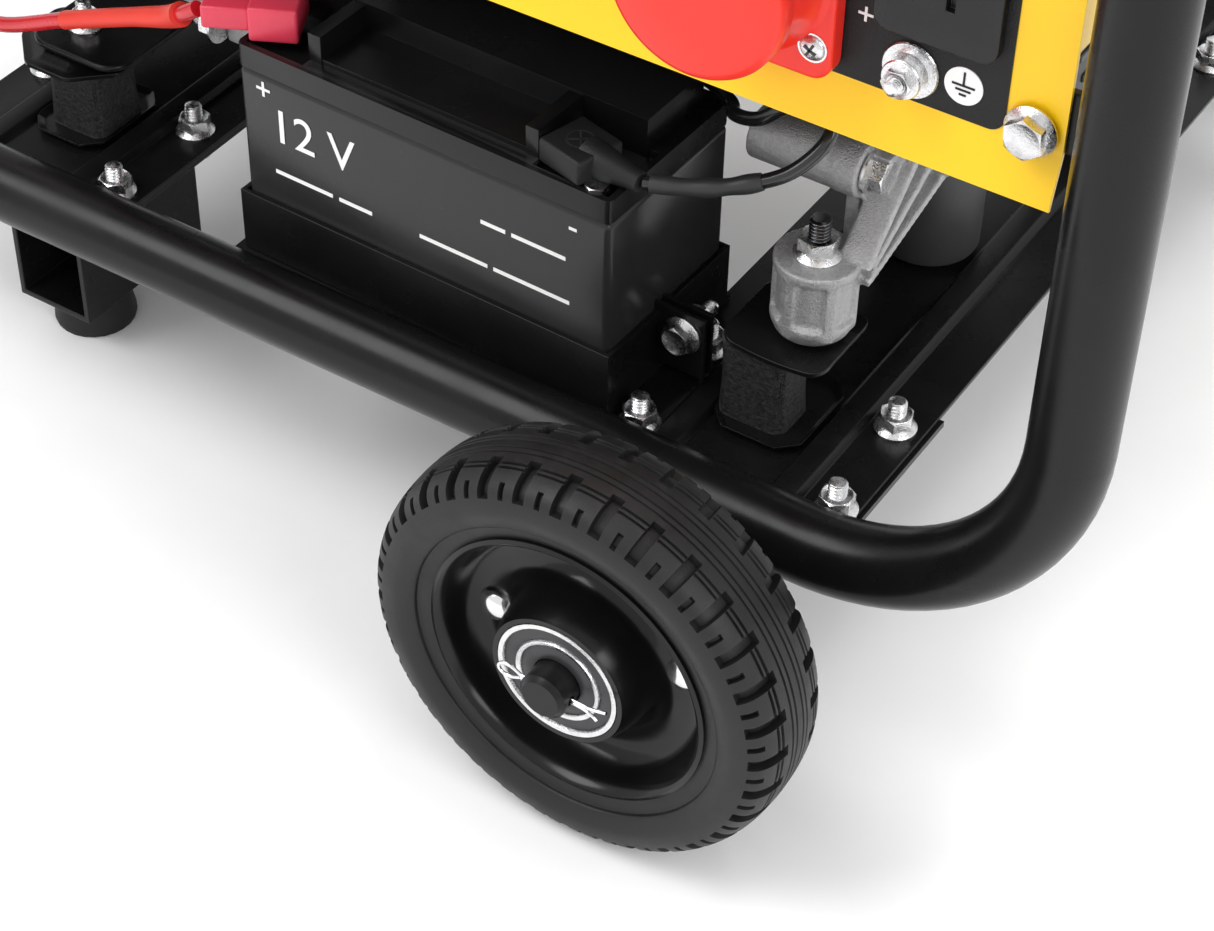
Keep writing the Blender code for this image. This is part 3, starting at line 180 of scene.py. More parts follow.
LABEL = surface("dark_overlay", (0.006, 0.0062, 0.0068), 0.55, specular=0.35, tint=0.35, grain=1500.0,
    bump=0.5, patch=900.0)
INK = surface("white_ink", (0.8, 0.8, 0.79), 0.5, spread=0.06, tint=0.03, grain=1200.0)
CHROME = surface("polished_rivet", (0.8, 0.8, 0.81), 0.12, metallic=1.0, spread=0.05, tint=0.05, grain=500.0,
    bump=0.04)
BLACK_STUD = surface("black_oxide", (0.035, 0.035, 0.038), 0.3, metallic=0.9, bump=0.1,
    wear=((0.65, 0.65, 0.66), 1.0))
SHIELD = surface("bearing_shield", (0.045, 0.045, 0.048), 0.4, metallic=0.4, spread=0.08, bump=0.1)
RIM_BLACK = surface("gloss_rim_coat", (0.003, 0.003, 0.0033), 0.2, specular=0.3, spread=0.05, grain=240.0,
    bump=0.04)


# Building blocks ----------------------------------------

def stand(name, mesh_source, material, body="frame", node=None, slot=None, bevel=0.0, segments=2, angle=32.0):
    """An object from a bmesh or a mesh, with sharp edges, that rides on its body and stands for its CAD node.
    The material may be a key of LOOKS."""
    if isinstance(material, str):
        slot = slot or (None if node else material)
        material = LOOKS[material]
    mesh = mesh_source
    if isinstance(mesh_source, bmesh.types.BMesh):
        bmesh.ops.recalc_face_normals(mesh_source, faces=mesh_source.faces)
        mesh = bpy.data.meshes.new(name)
        mesh_source.to_mesh(mesh)
        mesh_source.free()
    mesh.shade_smooth()
    mesh.set_sharp_from_angle(angle=math.radians(angle))
    obj = bpy.data.objects.new(name, mesh)
    bpy.context.scene.collection.objects.link(obj)
    mesh.materials.clear()
    mesh.materials.append(material)
    if bevel:
        edge = obj.modifiers.new("edge", "BEVEL")
        edge.width = bevel
        edge.segments = segments
        edge.limit_method = "ANGLE"
        edge.angle_limit = math.radians(28)
        edge.harden_normals = True
    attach(obj, BODY[node] if node else body)
    if node:
        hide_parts(node)
        DONE.add(node)
        slot = slot or SLOT[node]
    return obj


def refined(node, material=None, bevel=0.0007, segments=2, angle=32.0):
    """The CAD node's own shape with its flat faces joined up, small round edges and smooth curves."""
    bm = bmesh.new()
    bm.from_mesh(NODES[node].data)
    bmesh.ops.remove_doubles(bm, verts=bm.verts, dist=0.00002)
    bmesh.ops.dissolve_limit(bm, angle_limit=math.radians(0.8), verts=bm.verts, edges=bm.edges)
    return stand(f"{node}_skin", bm, material or SLOT[node], node=node, bevel=bevel, segments=segments,
        angle=angle)


def add_box(bm, low, high, matrix=None):
    size = [b - a for a, b in zip(low, high)]
    middle = [(a + b) / 2 for a, b in zip(low, high)]
    place = Matrix.Translation(middle) @ Matrix.Diagonal((*size, 1.0))
    bmesh.ops.create_cube(bm, size=1.0, matrix=(matrix @ place) if matrix else place)
    return bm


def add_rod(bm, start, end, radius, sides=32):
    start, end = Vector(start), Vector(end)
    turn = (end - start).to_track_quat("Z", "Y").to_matrix().to_4x4()
    bmesh.ops.create_cone(bm, cap_ends=True, segments=sides, radius1=radius, radius2=radius,
        depth=(end - start).length, matrix=Matrix.Translation((start + end) / 2) @ turn)
    return bm


def add_skin(bm, rings, closed=False):
    """Joins rings of vertices with quads. The ends are capped, or joined to each other where it is closed."""
    for first, second in list(zip(rings, rings[1:])) + ([(rings[-1], rings[0])] if closed else []):
        for i in range(len(first)):
            j = (i + 1) % len(first)
            bm.faces.new((first[i], first[j], second[j], second[i]))
    if not closed:
        bm.faces.new(rings[0][::-1])
        bm.faces.new(rings[-1])
    return bm


def add_turned(bm, profile, centre, direction, sides=96, closed=False):
    """Turns a line of (radius, height) about the direction through the centre."""
    place = Matrix.Translation(centre) @ Vector(direction).to_track_quat("Z", "Y").to_matrix().to_4x4()
    rings = []
    for radius, height in profile:
        if radius < 1e-7:
            rings.append([bm.verts.new(place @ Vector((0, 0, height)))])
            continue
        rings.append([bm.verts.new(place @ Vector((radius * math.cos(2 * math.pi * i / sides),
            radius * math.sin(2 * math.pi * i / sides), height))) for i in range(sides)])
    pairs = list(zip(rings, rings[1:]))
    if closed:
        pairs.append((rings[-1], rings[0]))
    for first, second in pairs:
        for i in range(sides):
            j = (i + 1) % sides
            ring = [first[i % len(first)], first[j % len(first)], second[j % len(second)],
                second[i % len(second)]]
            ring = list(dict.fromkeys(ring))
            if len(ring) > 2:
                bm.faces.new(ring)
    return bm


def add_prism(bm, outline, axis, low, high):
    def point(pair, level):
        values = list(pair)
        values.insert("xyz".index(axis), level)
        return values
    near = [bm.verts.new(point(p, low)) for p in outline]
    far = [bm.verts.new(point(p, high)) for p in outline]
    bm.faces.new(near)
    bm.faces.new(far[::-1])
    for i in range(len(outline)):
        j = (i + 1) % len(outline)
        bm.faces.new((near[j], near[i], far[i], far[j]))
    return bm


def rounded(low, high, radius, steps=6):
    points = []
    for x, y, quarter in ((high[0], high[1], 0), (low[0], high[1], 1), (low[0], low[1], 2),
            (high[0], low[1], 3)):
        cx = x - radius if quarter in (0, 3) else x + radius
        cy = y - radius if quarter in (0, 1) else y + radius
        for step in range(steps + 1):
            a = math.pi / 2 * (quarter + step / steps)
            points.append((cx + radius * math.cos(a), cy + radius * math.sin(a)))
    return points


def smooth_line(knots, per_span=8):
    knots = [Vector(k) for k in knots]
    ends = [2 * knots[0] - knots[1]] + knots + [2 * knots[-1] - knots[-2]]
    points = []
    for a, b, c, d in zip(ends, ends[1:], ends[2:], ends[3:]):
        for step in range(per_span):
            t = step / per_span
            points.append(0.5 * (2 * b + (c - a) * t + (2 * a - 5 * b + 4 * c - d) * t**2
                + (3 * b - a - 3 * c + d) * t**3))
    return points + [knots[-1]]


def add_pipe(bm, points, radius, sides=24, cyclic=False):
    """A round pipe along points. The radius is one number or one for each point."""
    count = len(points)
    radii = radius if isinstance(radius, (list, tuple)) else [radius] * count
    side_way = None
    rings = []
    for i, point in enumerate(points):
        before = points[i - 1] if (i or cyclic) else points[0]
        after = points[(i + 1) % count] if (i + 1 < count or cyclic) else points[-1]
        along = (Vector(after) - Vector(before)).normalized()
        if side_way is None:
            side_way = along.orthogonal().normalized()
        side_way = (side_way - along * side_way.dot(along)).normalized()
        other = along.cross(side_way)
        rings.append([bm.verts.new(Vector(point) + radii[i] * (math.cos(2 * math.pi * k / sides) * side_way
            + math.sin(2 * math.pi * k / sides) * other)) for k in range(sides)])
    return add_skin(bm, rings, closed=cyclic)


def add_thread(bm, place, axis, length, radius=0.0039, pitch=0.0016, depth=0.0009, sides=28):
    """A threaded end with a true helix, chamfered at its tip."""
    turn = Matrix.Translation(place) @ Vector(axis).to_track_quat("Z", "Y").to_matrix().to_4x4()
    steps = max(int(length / pitch * 10), 4)
    rings = []
    for level in range(steps + 1):
        height = length * level / steps
        ring = []
        for k in range(sides):
            phase = (height / pitch - k / sides) % 1.0
            wave = abs(2 * phase - 1)
            r = radius - depth * wave - max(0.0, height - length + 0.0008) * 0.9
            a = 2 * math.pi * k / sides
            ring.append(bm.verts.new(turn @ Vector((r * math.cos(a), r * math.sin(a), height))))
        rings.append(ring)
    return add_skin(bm, rings)


def add_hexagon(bm, place, axis, across, low, high, spin=0.0, hollow=None):
    """A hexagon head whose top corners are cut back by a cone, or a nut with a dished top."""
    turn = Matrix.Translation(place) @ Vector(axis).to_track_quat("Z", "Y").to_matrix().to_4x4()
    turn = turn @ Matrix.Rotation(spin, 4, "Z")
    sides, apothem = 48, across / 2
    reach = [apothem / math.cos((2 * math.pi * i / sides + math.pi / 6) % (math.pi / 3) - math.pi / 6)
        for i in range(sides)]
    def ring(radii, heights):
        return [bm.verts.new(turn @ Vector((radii[i] * math.cos(2 * math.pi * i / sides),
            radii[i] * math.sin(2 * math.pi * i / sides), heights[i]))) for i in range(sides)]
    tops = [high - max(0.0, (r - apothem)) * 0.55 for r in reach]
    rings = [ring(reach, [low] * sides), ring(reach, tops), ring([apothem * 0.97] * sides,
        [high + 0.0001] * sides)]
    inner = hollow or apothem * 0.8
    rings.append(ring([inner] * sides, [high - (0.0008 if hollow else 0.0)] * sides))
    return add_skin(bm, rings)


def add_flange_nut(bm, place, axis, spin=0.3, stud=0.0065, scale=1.0, stud_bm=None):
    """A flange nut with the threaded end of its bolt standing out of it."""
    place, axis = Vector(place), Vector(axis)
    s = scale
    flange = [(0, 0), (0.0089 * s, 0), (0.00895 * s, 0.0009 * s), (0.0084 * s, 0.0016 * s),
        (0.0066 * s, 0.003 * s), (0, 0.003 * s)]
    add_turned(bm, flange, place, axis, 48)
    add_hexagon(bm, place, axis, 0.013 * s, 0.0018 * s, 0.0078 * s, spin=spin, hollow=0.0046 * s)
    add_thread(stud_bm or bm, place + axis * 0.005 * s, axis, 0.003 * s + stud, 0.004 * s)
    return bm


def add_flange_head(bm, place, axis, spin=0.3, scale=1.0):
    """The head of a flange bolt, with a shallow dish on top."""
    s = scale
    flange = [(0, 0), (0.0086 * s, 0), (0.00865 * s, 0.0008 * s), (0.0081 * s, 0.0014 * s),
        (0.0064 * s, 0.0026 * s), (0, 0.0026 * s)]
    add_turned(bm, flange, place, axis, 48)
    add_hexagon(bm, place, axis, 0.012 * s, 0.0016 * s, 0.0062 * s, spin=spin, hollow=0.0042 * s)
    return bm


def on_battery(point):
    """The point's place once the battery is turned a little on the spot."""
    turn = Matrix.Translation(BATTERY_MIDDLE) @ Matrix.Rotation(BATTERY_TURN, 4,
        "Z") @ Matrix.Translation(-BATTERY_MIDDLE)
    return turn @ Vector(point)


# Frame ----------------------------------------

def build_frame():
    points_2d = rounded((-FRAME_HALF_X, RAIL_Z), (FRAME_HALF_X, TOP_Z), BEND_R, 20)
    for name, side in (("front_frame_tube", -1), ("rear_frame_tube", 1)):
        bm = add_pipe(bmesh.new(), [Vector((x, side * RAIL_Y, z)) for x, z in points_2d], TUBE_R, 40,
            cyclic=True)
        stand(f"{name}_pipe", bm, "black_paint", node=name)
        bm = bmesh.new()
        for x in (-0.15, 0.15):
            low_y, high_y = sorted((side * (RAIL_Y - 0.006), side * (RAIL_Y - 0.01)))
            add_box(bm, (x - 0.015, low_y, 0.5413), (x + 0.015, high_y, TOP_Z - 0.004))
            low_y, high_y = sorted((side * (RAIL_Y - 0.006), side * 0.176))
            add_box(bm, (x - 0.015, low_y, 0.5412), (x + 0.015, high_y, 0.5452))
        stand(f"{name}_lugs", bm, "black_paint", bevel=0.0008)
        bm = add_rod(bmesh.new(), (-FRAME_HALF_X, side * 0.231, 0.47), (-FRAME_HALF_X, side * 0.19, 0.47),
            0.006, 32)
        stand(f"{name}_pin", bm, "zinc", bevel=0.0006)
    bm = bmesh.new()
    for z in (0.318, 0.474):
        add_box(bm, (0.281, PANEL_FACE_Y + 0.0022, z - 0.012), (0.33, PANEL_FACE_Y + 0.0062, z + 0.012))
    stand("panel_tabs", bm, "black_paint", bevel=0.001)
    for node in ("right_cross_member", "left_cross_member", "front_axle_bracket", "rear_axle_bracket",
            "front_leg_bracket", "rear_leg_bracket"):
        refined(node, bevel=0.0009, segments=3)
    for node in ("front_foot", "rear_foot"):
        refined(node, bevel=0.0012, segments=3)


def build_handle():
    pivot_z, low_z, y_out, r = 0.47, 0.17, 0.204, 0.011
    half = rounded((-y_out, low_z), (y_out, pivot_z + 0.2), 0.045, 12)
    low = [p for p in half if p[1] < pivot_z - 0.05]
    line = [(-y_out, pivot_z - 0.012)] + low + [(y_out, pivot_z - 0.012)]
    bm = add_pipe(bmesh.new(), [Vector((-FRAME_HALF_X, y, z)) for y, z in line], r, 32)
    for side in (-1, 1):
        eye = [(0.0064, -0.0096), (0.0064, 0.0096), (0.0136, 0.0096), (0.0146, 0.0086), (0.0146, -0.0086),
            (0.0136, -0.0096)]
        add_turned(bm, eye, (-FRAME_HALF_X, side * y_out, pivot_z), (0, 1, 0), 48, closed=True)
    stand("handle_bar_pipe", bm, "black_paint", node="handle_bar")
    ribs = bmesh.new()
    profile = [(r + 0.0004, -0.074)]
    for i in range(30):
        near = -0.074 + i * 0.148 / 30
        profile += [(r + 0.0034, near + 0.0006), (r + 0.0034, near + 0.0034), (r + 0.0024, near + 0.004),
            (r + 0.0024, near + 0.0046)]
    profile += [(r + 0.0004, 0.074)]
    add_turned(ribs, profile, (-FRAME_HALF_X, 0, low_z), (0, 1, 0), 48)
    stand("handle_grip_ribs", ribs, "rubber", node="handle_grip")


# Wheels ----------------------------------------

def tyre_mesh(side):
    """A solid tyre: 32 tread blocks on each side with grooves, slots, thin lines and ribs at the crown."""
    blocks = 32
    half = [(0.0605, 0.0066), (0.064, 0.0058), (0.0668, 0.005), (0.0672, 0.0034), (0.07, 0.0018),
        (0.074, 0.0007), (0.0775, 0.0009), (0.0805, 0.0016), (0.0828, 0.0026), (0.085, 0.0044),
        (0.0868, 0.0072), (0.0881, 0.0105), (0.089, 0.015), (0.0895, 0.02), (0.0897, 0.025)]
    dense = smooth_line([(r, d, 0) for r, d in half], 12)
    arc = np.concatenate([[0], np.cumsum([(b - a).length for a, b in zip(dense, dense[1:])])])
    shoulder = 7 * 12
    start = float(arc[shoulder])
    crown = float(arc[-1]) - start
    marks = [m / 1000 for m in (0.6, 1.2, 2.6, 4.2, 5.8, 6.8, 7.4, 9.5, 11.5, 13.0, 13.4, 14.0, 14.4, 15.2,
        15.6, 16.3, 16.7, 18.2, 18.8)]
    ribs = [crown - 0.005, crown - 0.0022]
    for rib in ribs:
        marks += [rib - 0.0006, rib - 0.0003, rib + 0.0003, rib + 0.0006]
    stations = sorted(set([float(a) for a in arc[:shoulder:4]] + [start + m for m in marks] + [start,
        start + 0.0095, start + 0.0168, float(arc[-1])]))
    turns = [0.0, 0.02, 0.08, 0.16, 0.24, 0.29, 0.31, 0.42, 0.54, 0.57, 0.59, 0.645, 0.7, 0.72, 0.84, 0.96]

    def base(s):
        i = min(int(np.searchsorted(arc, s)), len(dense) - 1)
        i = max(i, 1)
        t = (s - arc[i - 1]) / max(arc[i] - arc[i - 1], 1e-9)
        p = dense[i - 1].lerp(dense[i], min(max(t, 0), 1))
        tangent = (dense[i] - dense[i - 1]).normalized()
        return p.x, p.y, tangent

    def depth(s, u):
        m = (s - start) * 1000
        cut = 0.0
        if 0.9 < m < 18.5 and 0.015 < u < 0.305:
            cut = 0.0034
        elif 0.9 < m < 7.1 and 0.58 < u < 0.71:
            cut = 0.0024
        elif 13.2 < m < 14.2 or 15.4 < m < 16.5:
            cut = 0.0011 if u > 0.3 else 0.0
        for rib in ribs:
            if abs(s - start - rib) < 0.00045:
                cut = 0.0007
        return cut

    bm = bmesh.new()
    rows = []
    for mirror in (False, True):
        shift = 0.5 if mirror else 0.0
        for s in (stations if not mirror else stations[::-1][1:]):
            r, d, tangent = base(s)
            normal = Vector((tangent.y, -tangent.x, 0))
            if normal.x < 0 and normal.y > 0:
                normal = -normal
            row = []
            for block in range(blocks):
                for u in turns:
                    a = 2 * math.pi * (block + u + shift) / blocks
                    cut = depth(s, u) if s > start else 0.0
                    rr, dd = r - cut * abs(normal.x), d + cut * max(-normal.y, 0.0)
                    dd = TYRE_WIDTH - dd if mirror else dd
                    y = side * (WHEEL_FACE_Y - dd)
                    row.append(bm.verts.new((WHEEL_X + rr * math.cos(a), y, WHEEL_R + rr * math.sin(a))))
            rows.append(row)
    for along in (TYRE_WIDTH - 0.0066, 0.0066):
        y = side * (WHEEL_FACE_Y - along)
        rows.append([bm.verts.new((WHEEL_X + TYRE_BORE_R * math.cos(2 * math.pi * (b + u) / blocks), y,
            WHEEL_R + TYRE_BORE_R * math.sin(2 * math.pi * (b + u) / blocks))) for b in range(blocks)
            for u in turns])
    return add_skin(bm, rows, closed=True)


def build_wheel(prefix, side):
    hub = (WHEEL_X, side * WHEEL_FACE_Y, WHEEL_R)
    inward = (0, -side, 0)
    stand(f"{prefix}_tyre_tread", tyre_mesh(side), "tyre_rubber", node=f"{prefix}_tyre", angle=38)
    outer = [(0.0597, 0.046), (0.0597, 0.0105), (0.0608, 0.0072), (0.0606, 0.0052), (0.059, 0.0045),
        (0.0575, 0.0056), (0.0562, 0.01), (0.055, 0.015), (0.053, 0.0195), (0.05, 0.0222), (0.046, 0.0232),
        (0.04, 0.0228), (0.0362, 0.0208), (0.0338, 0.0165), (0.0322, 0.0105), (0.0308, 0.0055),
        (0.0292, 0.0016), (0.0287, 0.0002), (0.0266, 0.0002), (0.0266, 0.012)]
    inner = [(0.0266, 0.038), (0.0266, 0.0498), (0.0287, 0.0498), (0.0287, 0.04), (0.039, 0.029),
        (0.044, 0.0272), (0.051, 0.0272), (0.056, 0.03), (0.0572, 0.046)]
    bm = add_turned(bmesh.new(), outer + inner, hub, inward, 120, closed=True)
    stand(f"{prefix}_rim_dish", bm, RIM_BLACK, node=f"{prefix}_rim", angle=50)
    bm = add_turned(bmesh.new(), [(0.0163, 0.0022), (0.0163, 0.0008), (0.017, 0.0001), (0.0182, 0.0001),
        (0.0186, 0.0008), (0.0186, 0.0024)], hub, inward, 96)
    add_turned(bm, [(0.0238, 0.0024), (0.0238, 0.001), (0.0243, 0.0001), (0.0262, 0.0001), (0.0264, 0.0012),
        (0.0264, 0.012)], hub, inward, 96)
    add_turned(bm, [(0.0264, 0.012), (0.0104, 0.012)], hub, inward, 96)
    stand(f"{prefix}_bearing_rings", bm, "zinc", node=f"{prefix}_wheel_bearing", angle=50)
    bm = add_turned(bmesh.new(), [(0.0187, 0.0014), (0.0208, 0.0011), (0.0237, 0.0014)], hub, inward, 96)
    add_turned(bm, [(0.0104, 0.01), (0.0104, 0.0004), (0.0118, 0.0000), (0.014, 0.0002), (0.0162, 0.0012)],
        hub, inward, 96)
    stand(f"{prefix}_bearing_shield", bm, SHIELD, body=f"{prefix}_wheel", slot="zinc", angle=50)
    bm = bmesh.new()
    for angle in (183, 12):
        a = math.radians(angle)
        spot = (WHEEL_X + 0.0425 * math.cos(a), side * (WHEEL_FACE_Y - 0.0235),
            WHEEL_R + 0.0425 * math.sin(a))
        dome = [(0.0072 * math.cos(t), 0.0012 + 0.004 * math.sin(t)) for t in np.linspace(0, math.pi / 2, 9)]
        dome[-1] = (0.0, 0.0052)
        add_turned(bm, [(0.0, 0.0)] + [(0.0072, 0.0)] + dome, spot, (0, side, 0), 40)
        add_hexagon(bm, (spot[0], side * (WHEEL_FACE_Y - 0.0273), spot[2]), inward, 0.008, 0.0, 0.0035)
    stand(f"{prefix}_rim_rivets", bm, CHROME, body=f"{prefix}_wheel", slot="zinc", angle=50)
    pin_y = side * 0.3449
    bm = bmesh.new()
    for off in (-0.0007, 0.0007):
        legs = [Vector((WHEEL_X - 0.0125, pin_y, WHEEL_R + off)), Vector((WHEEL_X + 0.012, pin_y,
            WHEEL_R + off)), Vector((WHEEL_X + 0.019, pin_y - side * -0.0006, WHEEL_R + off * 2.2)),
            Vector((WHEEL_X + (0.0255 if off > 0 else 0.0215), pin_y + side * 0.0006, WHEEL_R + off * 4.5))]
        add_pipe(bm, smooth_line(legs, 5), 0.00072, 12)
    loop = [Vector((WHEEL_X - 0.0125, pin_y, WHEEL_R + 0.0007)), Vector((WHEEL_X - 0.0165, pin_y,
        WHEEL_R + 0.0026)), Vector((WHEEL_X - 0.0205, pin_y, WHEEL_R + 0.0026)),
        Vector((WHEEL_X - 0.0225, pin_y, WHEEL_R)), Vector((WHEEL_X - 0.0205, pin_y, WHEEL_R - 0.0026)),
        Vector((WHEEL_X - 0.0165, pin_y, WHEEL_R - 0.0026)), Vector((WHEEL_X - 0.0125, pin_y,
        WHEEL_R - 0.0007))]
    add_pipe(bm, smooth_line(loop, 6), 0.00072, 12)
    stand(f"{prefix}_split_pin", bm, CHROME, slot="zinc", angle=50)


# Fasteners ----------------------------------------

def build_fasteners():
    nuts = bmesh.new()
    places = []
    for cross, front_out, rear_out in ((CROSS_X, (0.0446, 0.0482), (-0.0435, -0.0425)),
            (-CROSS_X, (0.0437, 0.044), (-0.0435, -0.0435))):
        for outs in (front_out, rear_out):
            for out, y in zip(outs, (0.1565, 0.2115)):
                for side in (-1, 1):
                    places.append((cross + out, side * (y if side < 0 else y - 0.0012), 0.1011))
    for i, spot in enumerate(places):
        add_flange_nut(nuts, spot, (0, 0, 1), spin=0.35 + 0.41 * i, stud=0.0065)
        add_flange_head(nuts, (spot[0], spot[1], 0.095), (0, 0, -1), spin=0.2 * i)
    stand("cross_member_nuts", nuts, "zinc", angle=30)
    nuts, studs = bmesh.new(), bmesh.new()
    for y in (CRANK_Y - FOOT_OUT, CRANK_Y + FOOT_OUT):
        add_flange_nut(nuts, (FOOT_X, y, 0.1822), (0, 0, 1), spin=0.15, stud=0.0085, scale=1.12,
            stud_bm=studs)
    for side in (-1, 1):
        for z in (CRANK_Z - BOLT_UP, CRANK_Z + BOLT_UP):
            add_turned(nuts, [(0, 0), (0.0088, 0), (0.009, 0.0006), (0.0088, 0.0014), (0, 0.0014)],
                (0.1962, CRANK_Y + side * BOLT_OUT, z), (1, 0, 0), 40)
            add_hexagon(nuts, (0.1976, CRANK_Y + side * BOLT_OUT, z), (1, 0, 0), 0.0125, 0.0, 0.007,
                spin=0.26)
    stand("alternator_bolts", nuts, "zinc", angle=30)
    stand("mount_studs", studs, BLACK_STUD, slot="dark_steel", angle=30)
    bm = bmesh.new()
    ear_x, ear_z = 0.1395, 0.1282
    ear = on_battery((ear_x, -0.1802, ear_z))
    across = on_battery((ear_x, -0.3, ear_z)) - ear
    add_flange_head(bm, ear, across.normalized(), spin=0.1)
    back = on_battery((ear_x, -0.1728, ear_z))
    add_flange_nut(bm, back, -across.normalized(), spin=0.4, stud=0.0085, scale=0.86)
    add_flange_head(bm, (0.29, PANEL_FACE_Y - 0.0016, 0.313), (0, -1, 0), spin=0.12, scale=1.12)
    add_flange_head(bm, (0.29, PANEL_FACE_Y - 0.0016, 0.474), (0, -1, 0), spin=0.4, scale=1.12)
    stand("clamp_and_panel_bolts", bm, "zinc", angle=30)


# Battery ----------------------------------------

def front_point(x, z, lift=0.0002):
    """A point on the battery's front face, a little proud of it."""
    return on_battery((x, BATTERY_FRONT_Y - lift, z))


def build_battery():
    refined("battery_case", BATTERY_CASE, bevel=0.001, segments=3)
    refined("battery_lid", BATTERY_LID, bevel=0.0009, segments=3)
    refined("battery_clamp_front", bevel=0.0006)
    refined("battery_clamp_rear", bevel=0.0006)
    posts = bmesh.new()
    spot = on_battery((0.1074, -0.1994, 0.0))
    add_turned(posts, [(0, 0.2042), (0.0075, 0.2042), (0.0075, 0.2072), (0, 0.2072)], (spot.x, spot.y, 0),
        (0, 0, 1), 32)
    add_hexagon(posts, (0.1135, -0.2095, 0.2046), (0, 0, 1), 0.009, 0.0, 0.0045)
    stand("battery_terminal_bolt", posts, "zinc")
    ink = bmesh.new()

    def bar(x0, x1, z0, z1):
        corners = [front_point(x0, z1), front_point(x1, z1), front_point(x1, z0), front_point(x0, z0)]
        back = [c + (on_battery((0, 0.0004, 0)) - on_battery((0, 0, 0))) for c in corners]
        near = [ink.verts.new(c) for c in corners]
        far = [ink.verts.new(c) for c in back]
        ink.faces.new(near)
        ink.faces.new(far[::-1])
        for i in range(4):
            j = (i + 1) % 4
            ink.faces.new((near[j], near[i], far[i], far[j]))

    for x, z, w in ((-0.042, 0.15, 0.03), (-0.0085, 0.15, 0.017), (0.033, 0.15, 0.034), (0.07, 0.15, 0.037)):
        bar(x, x + w, z, z + 0.0018)
    for x, w in ((0.064, 0.012), (0.079, 0.026)):
        bar(x, x + w, 0.1712, 0.173)
    stand("battery_print_bars", ink, INK, slot="zinc")
    text("battery_print_volts", "12 V", 0.0235, front_point(-0.043, 0.167, 0.00025), INK)
    text("battery_print_plus", "+", 0.015, front_point(-0.05, 0.185, 0.00025), INK)
    text("battery_print_minus", "-", 0.015, front_point(0.106, 0.185, 0.00025), INK)
    build_boots()
    build_leads()


def text(name, words, size, place, material, turn=BATTERY_TURN):
    """Generic lettering as a thin mesh that stands on a face turned to -Y."""
    curve = bpy.data.curves.new(name, "FONT")
    curve.body = words
    curve.size = size
    curve.extrude = 0.0001
    holder = bpy.data.objects.new(name + "_curve", curve)
    bpy.context.scene.collection.objects.link(holder)
    bpy.context.view_layer.update()
    mesh = bpy.data.meshes.new_from_object(holder.evaluated_get(bpy.context.evaluated_depsgraph_get()))
    bpy.data.objects.remove(holder)
    mesh.transform(Matrix.Translation(place) @ Matrix.Rotation(turn, 4, "Z") @ Matrix.Rotation(math.pi / 2, 4,
        "X"))
    return stand(name, mesh, material, slot="zinc")


def soften(bm, width, place):
    """Rounds every edge of the mesh by the width, then moves it to its place."""
    bmesh.ops.bevel(bm, geom=list(bm.edges) + list(bm.verts), offset=width, segments=3, profile=0.5,
        affect="EDGES")
    bmesh.ops.transform(bm, matrix=place, verts=bm.verts)


def build_boots():
    level = 0.2083
    cap = Matrix.Translation((0.1008, -0.2012, level)) @ Matrix.Rotation(math.radians(-15), 4, "Z")
    bm = add_box(bmesh.new(), (-0.0117, -0.0117, 0.0002), (0.0117, 0.0117, 0.0112))
    soften(bm, 0.0016, cap)
    start, end = Vector((0.104, -0.2016, 0.2138)), Vector((0.13, -0.2042, 0.2131))
    line = [start.lerp(end, t) for t in (0, 0.2, 0.4, 0.6, 0.8, 0.93, 1.0)]
    add_pipe(bm, line, [0.0078, 0.0078, 0.0068, 0.0056, 0.0047, 0.0045, 0.0041], 28)
    stand("negative_boot_cap", bm, "rubber", node="negative_terminal_boot", angle=55)
    bm = add_turned(bmesh.new(), [(0.0058, 0), (0.0058, 0.0004), (0.0051, 0.0004), (0.0051, 0)],
        cap @ Vector((0, 0, 0.0111)), (0, 0, 1), 48, closed=True)
    for turn in (0.6, 0.6 + math.pi / 2):
        m = Matrix.Translation(cap @ Vector((0, 0, 0.0111))) @ Matrix.Rotation(turn, 4, "Z")
        add_box(bm, (-0.005, -0.0004, 0), (0.005, 0.0004, 0.0004), m)
    stand("negative_boot_mark", bm, "rubber")
    body = Matrix.Translation((-0.0523, -0.1913, 0)) @ Matrix.Rotation(math.radians(27), 4, "Z")
    bm = add_box(bmesh.new(), (-0.01035, -0.014, level + 0.0001), (0.01035, 0.0115, level + 0.016))
    add_box(bm, (-0.03, -0.012, level + 0.0035), (-0.0095, 0.005, level + 0.014))
    soften(bm, 0.0015, body)
    stand("positive_boot_cap", bm, "boot_red", node="positive_terminal_boot", angle=55)


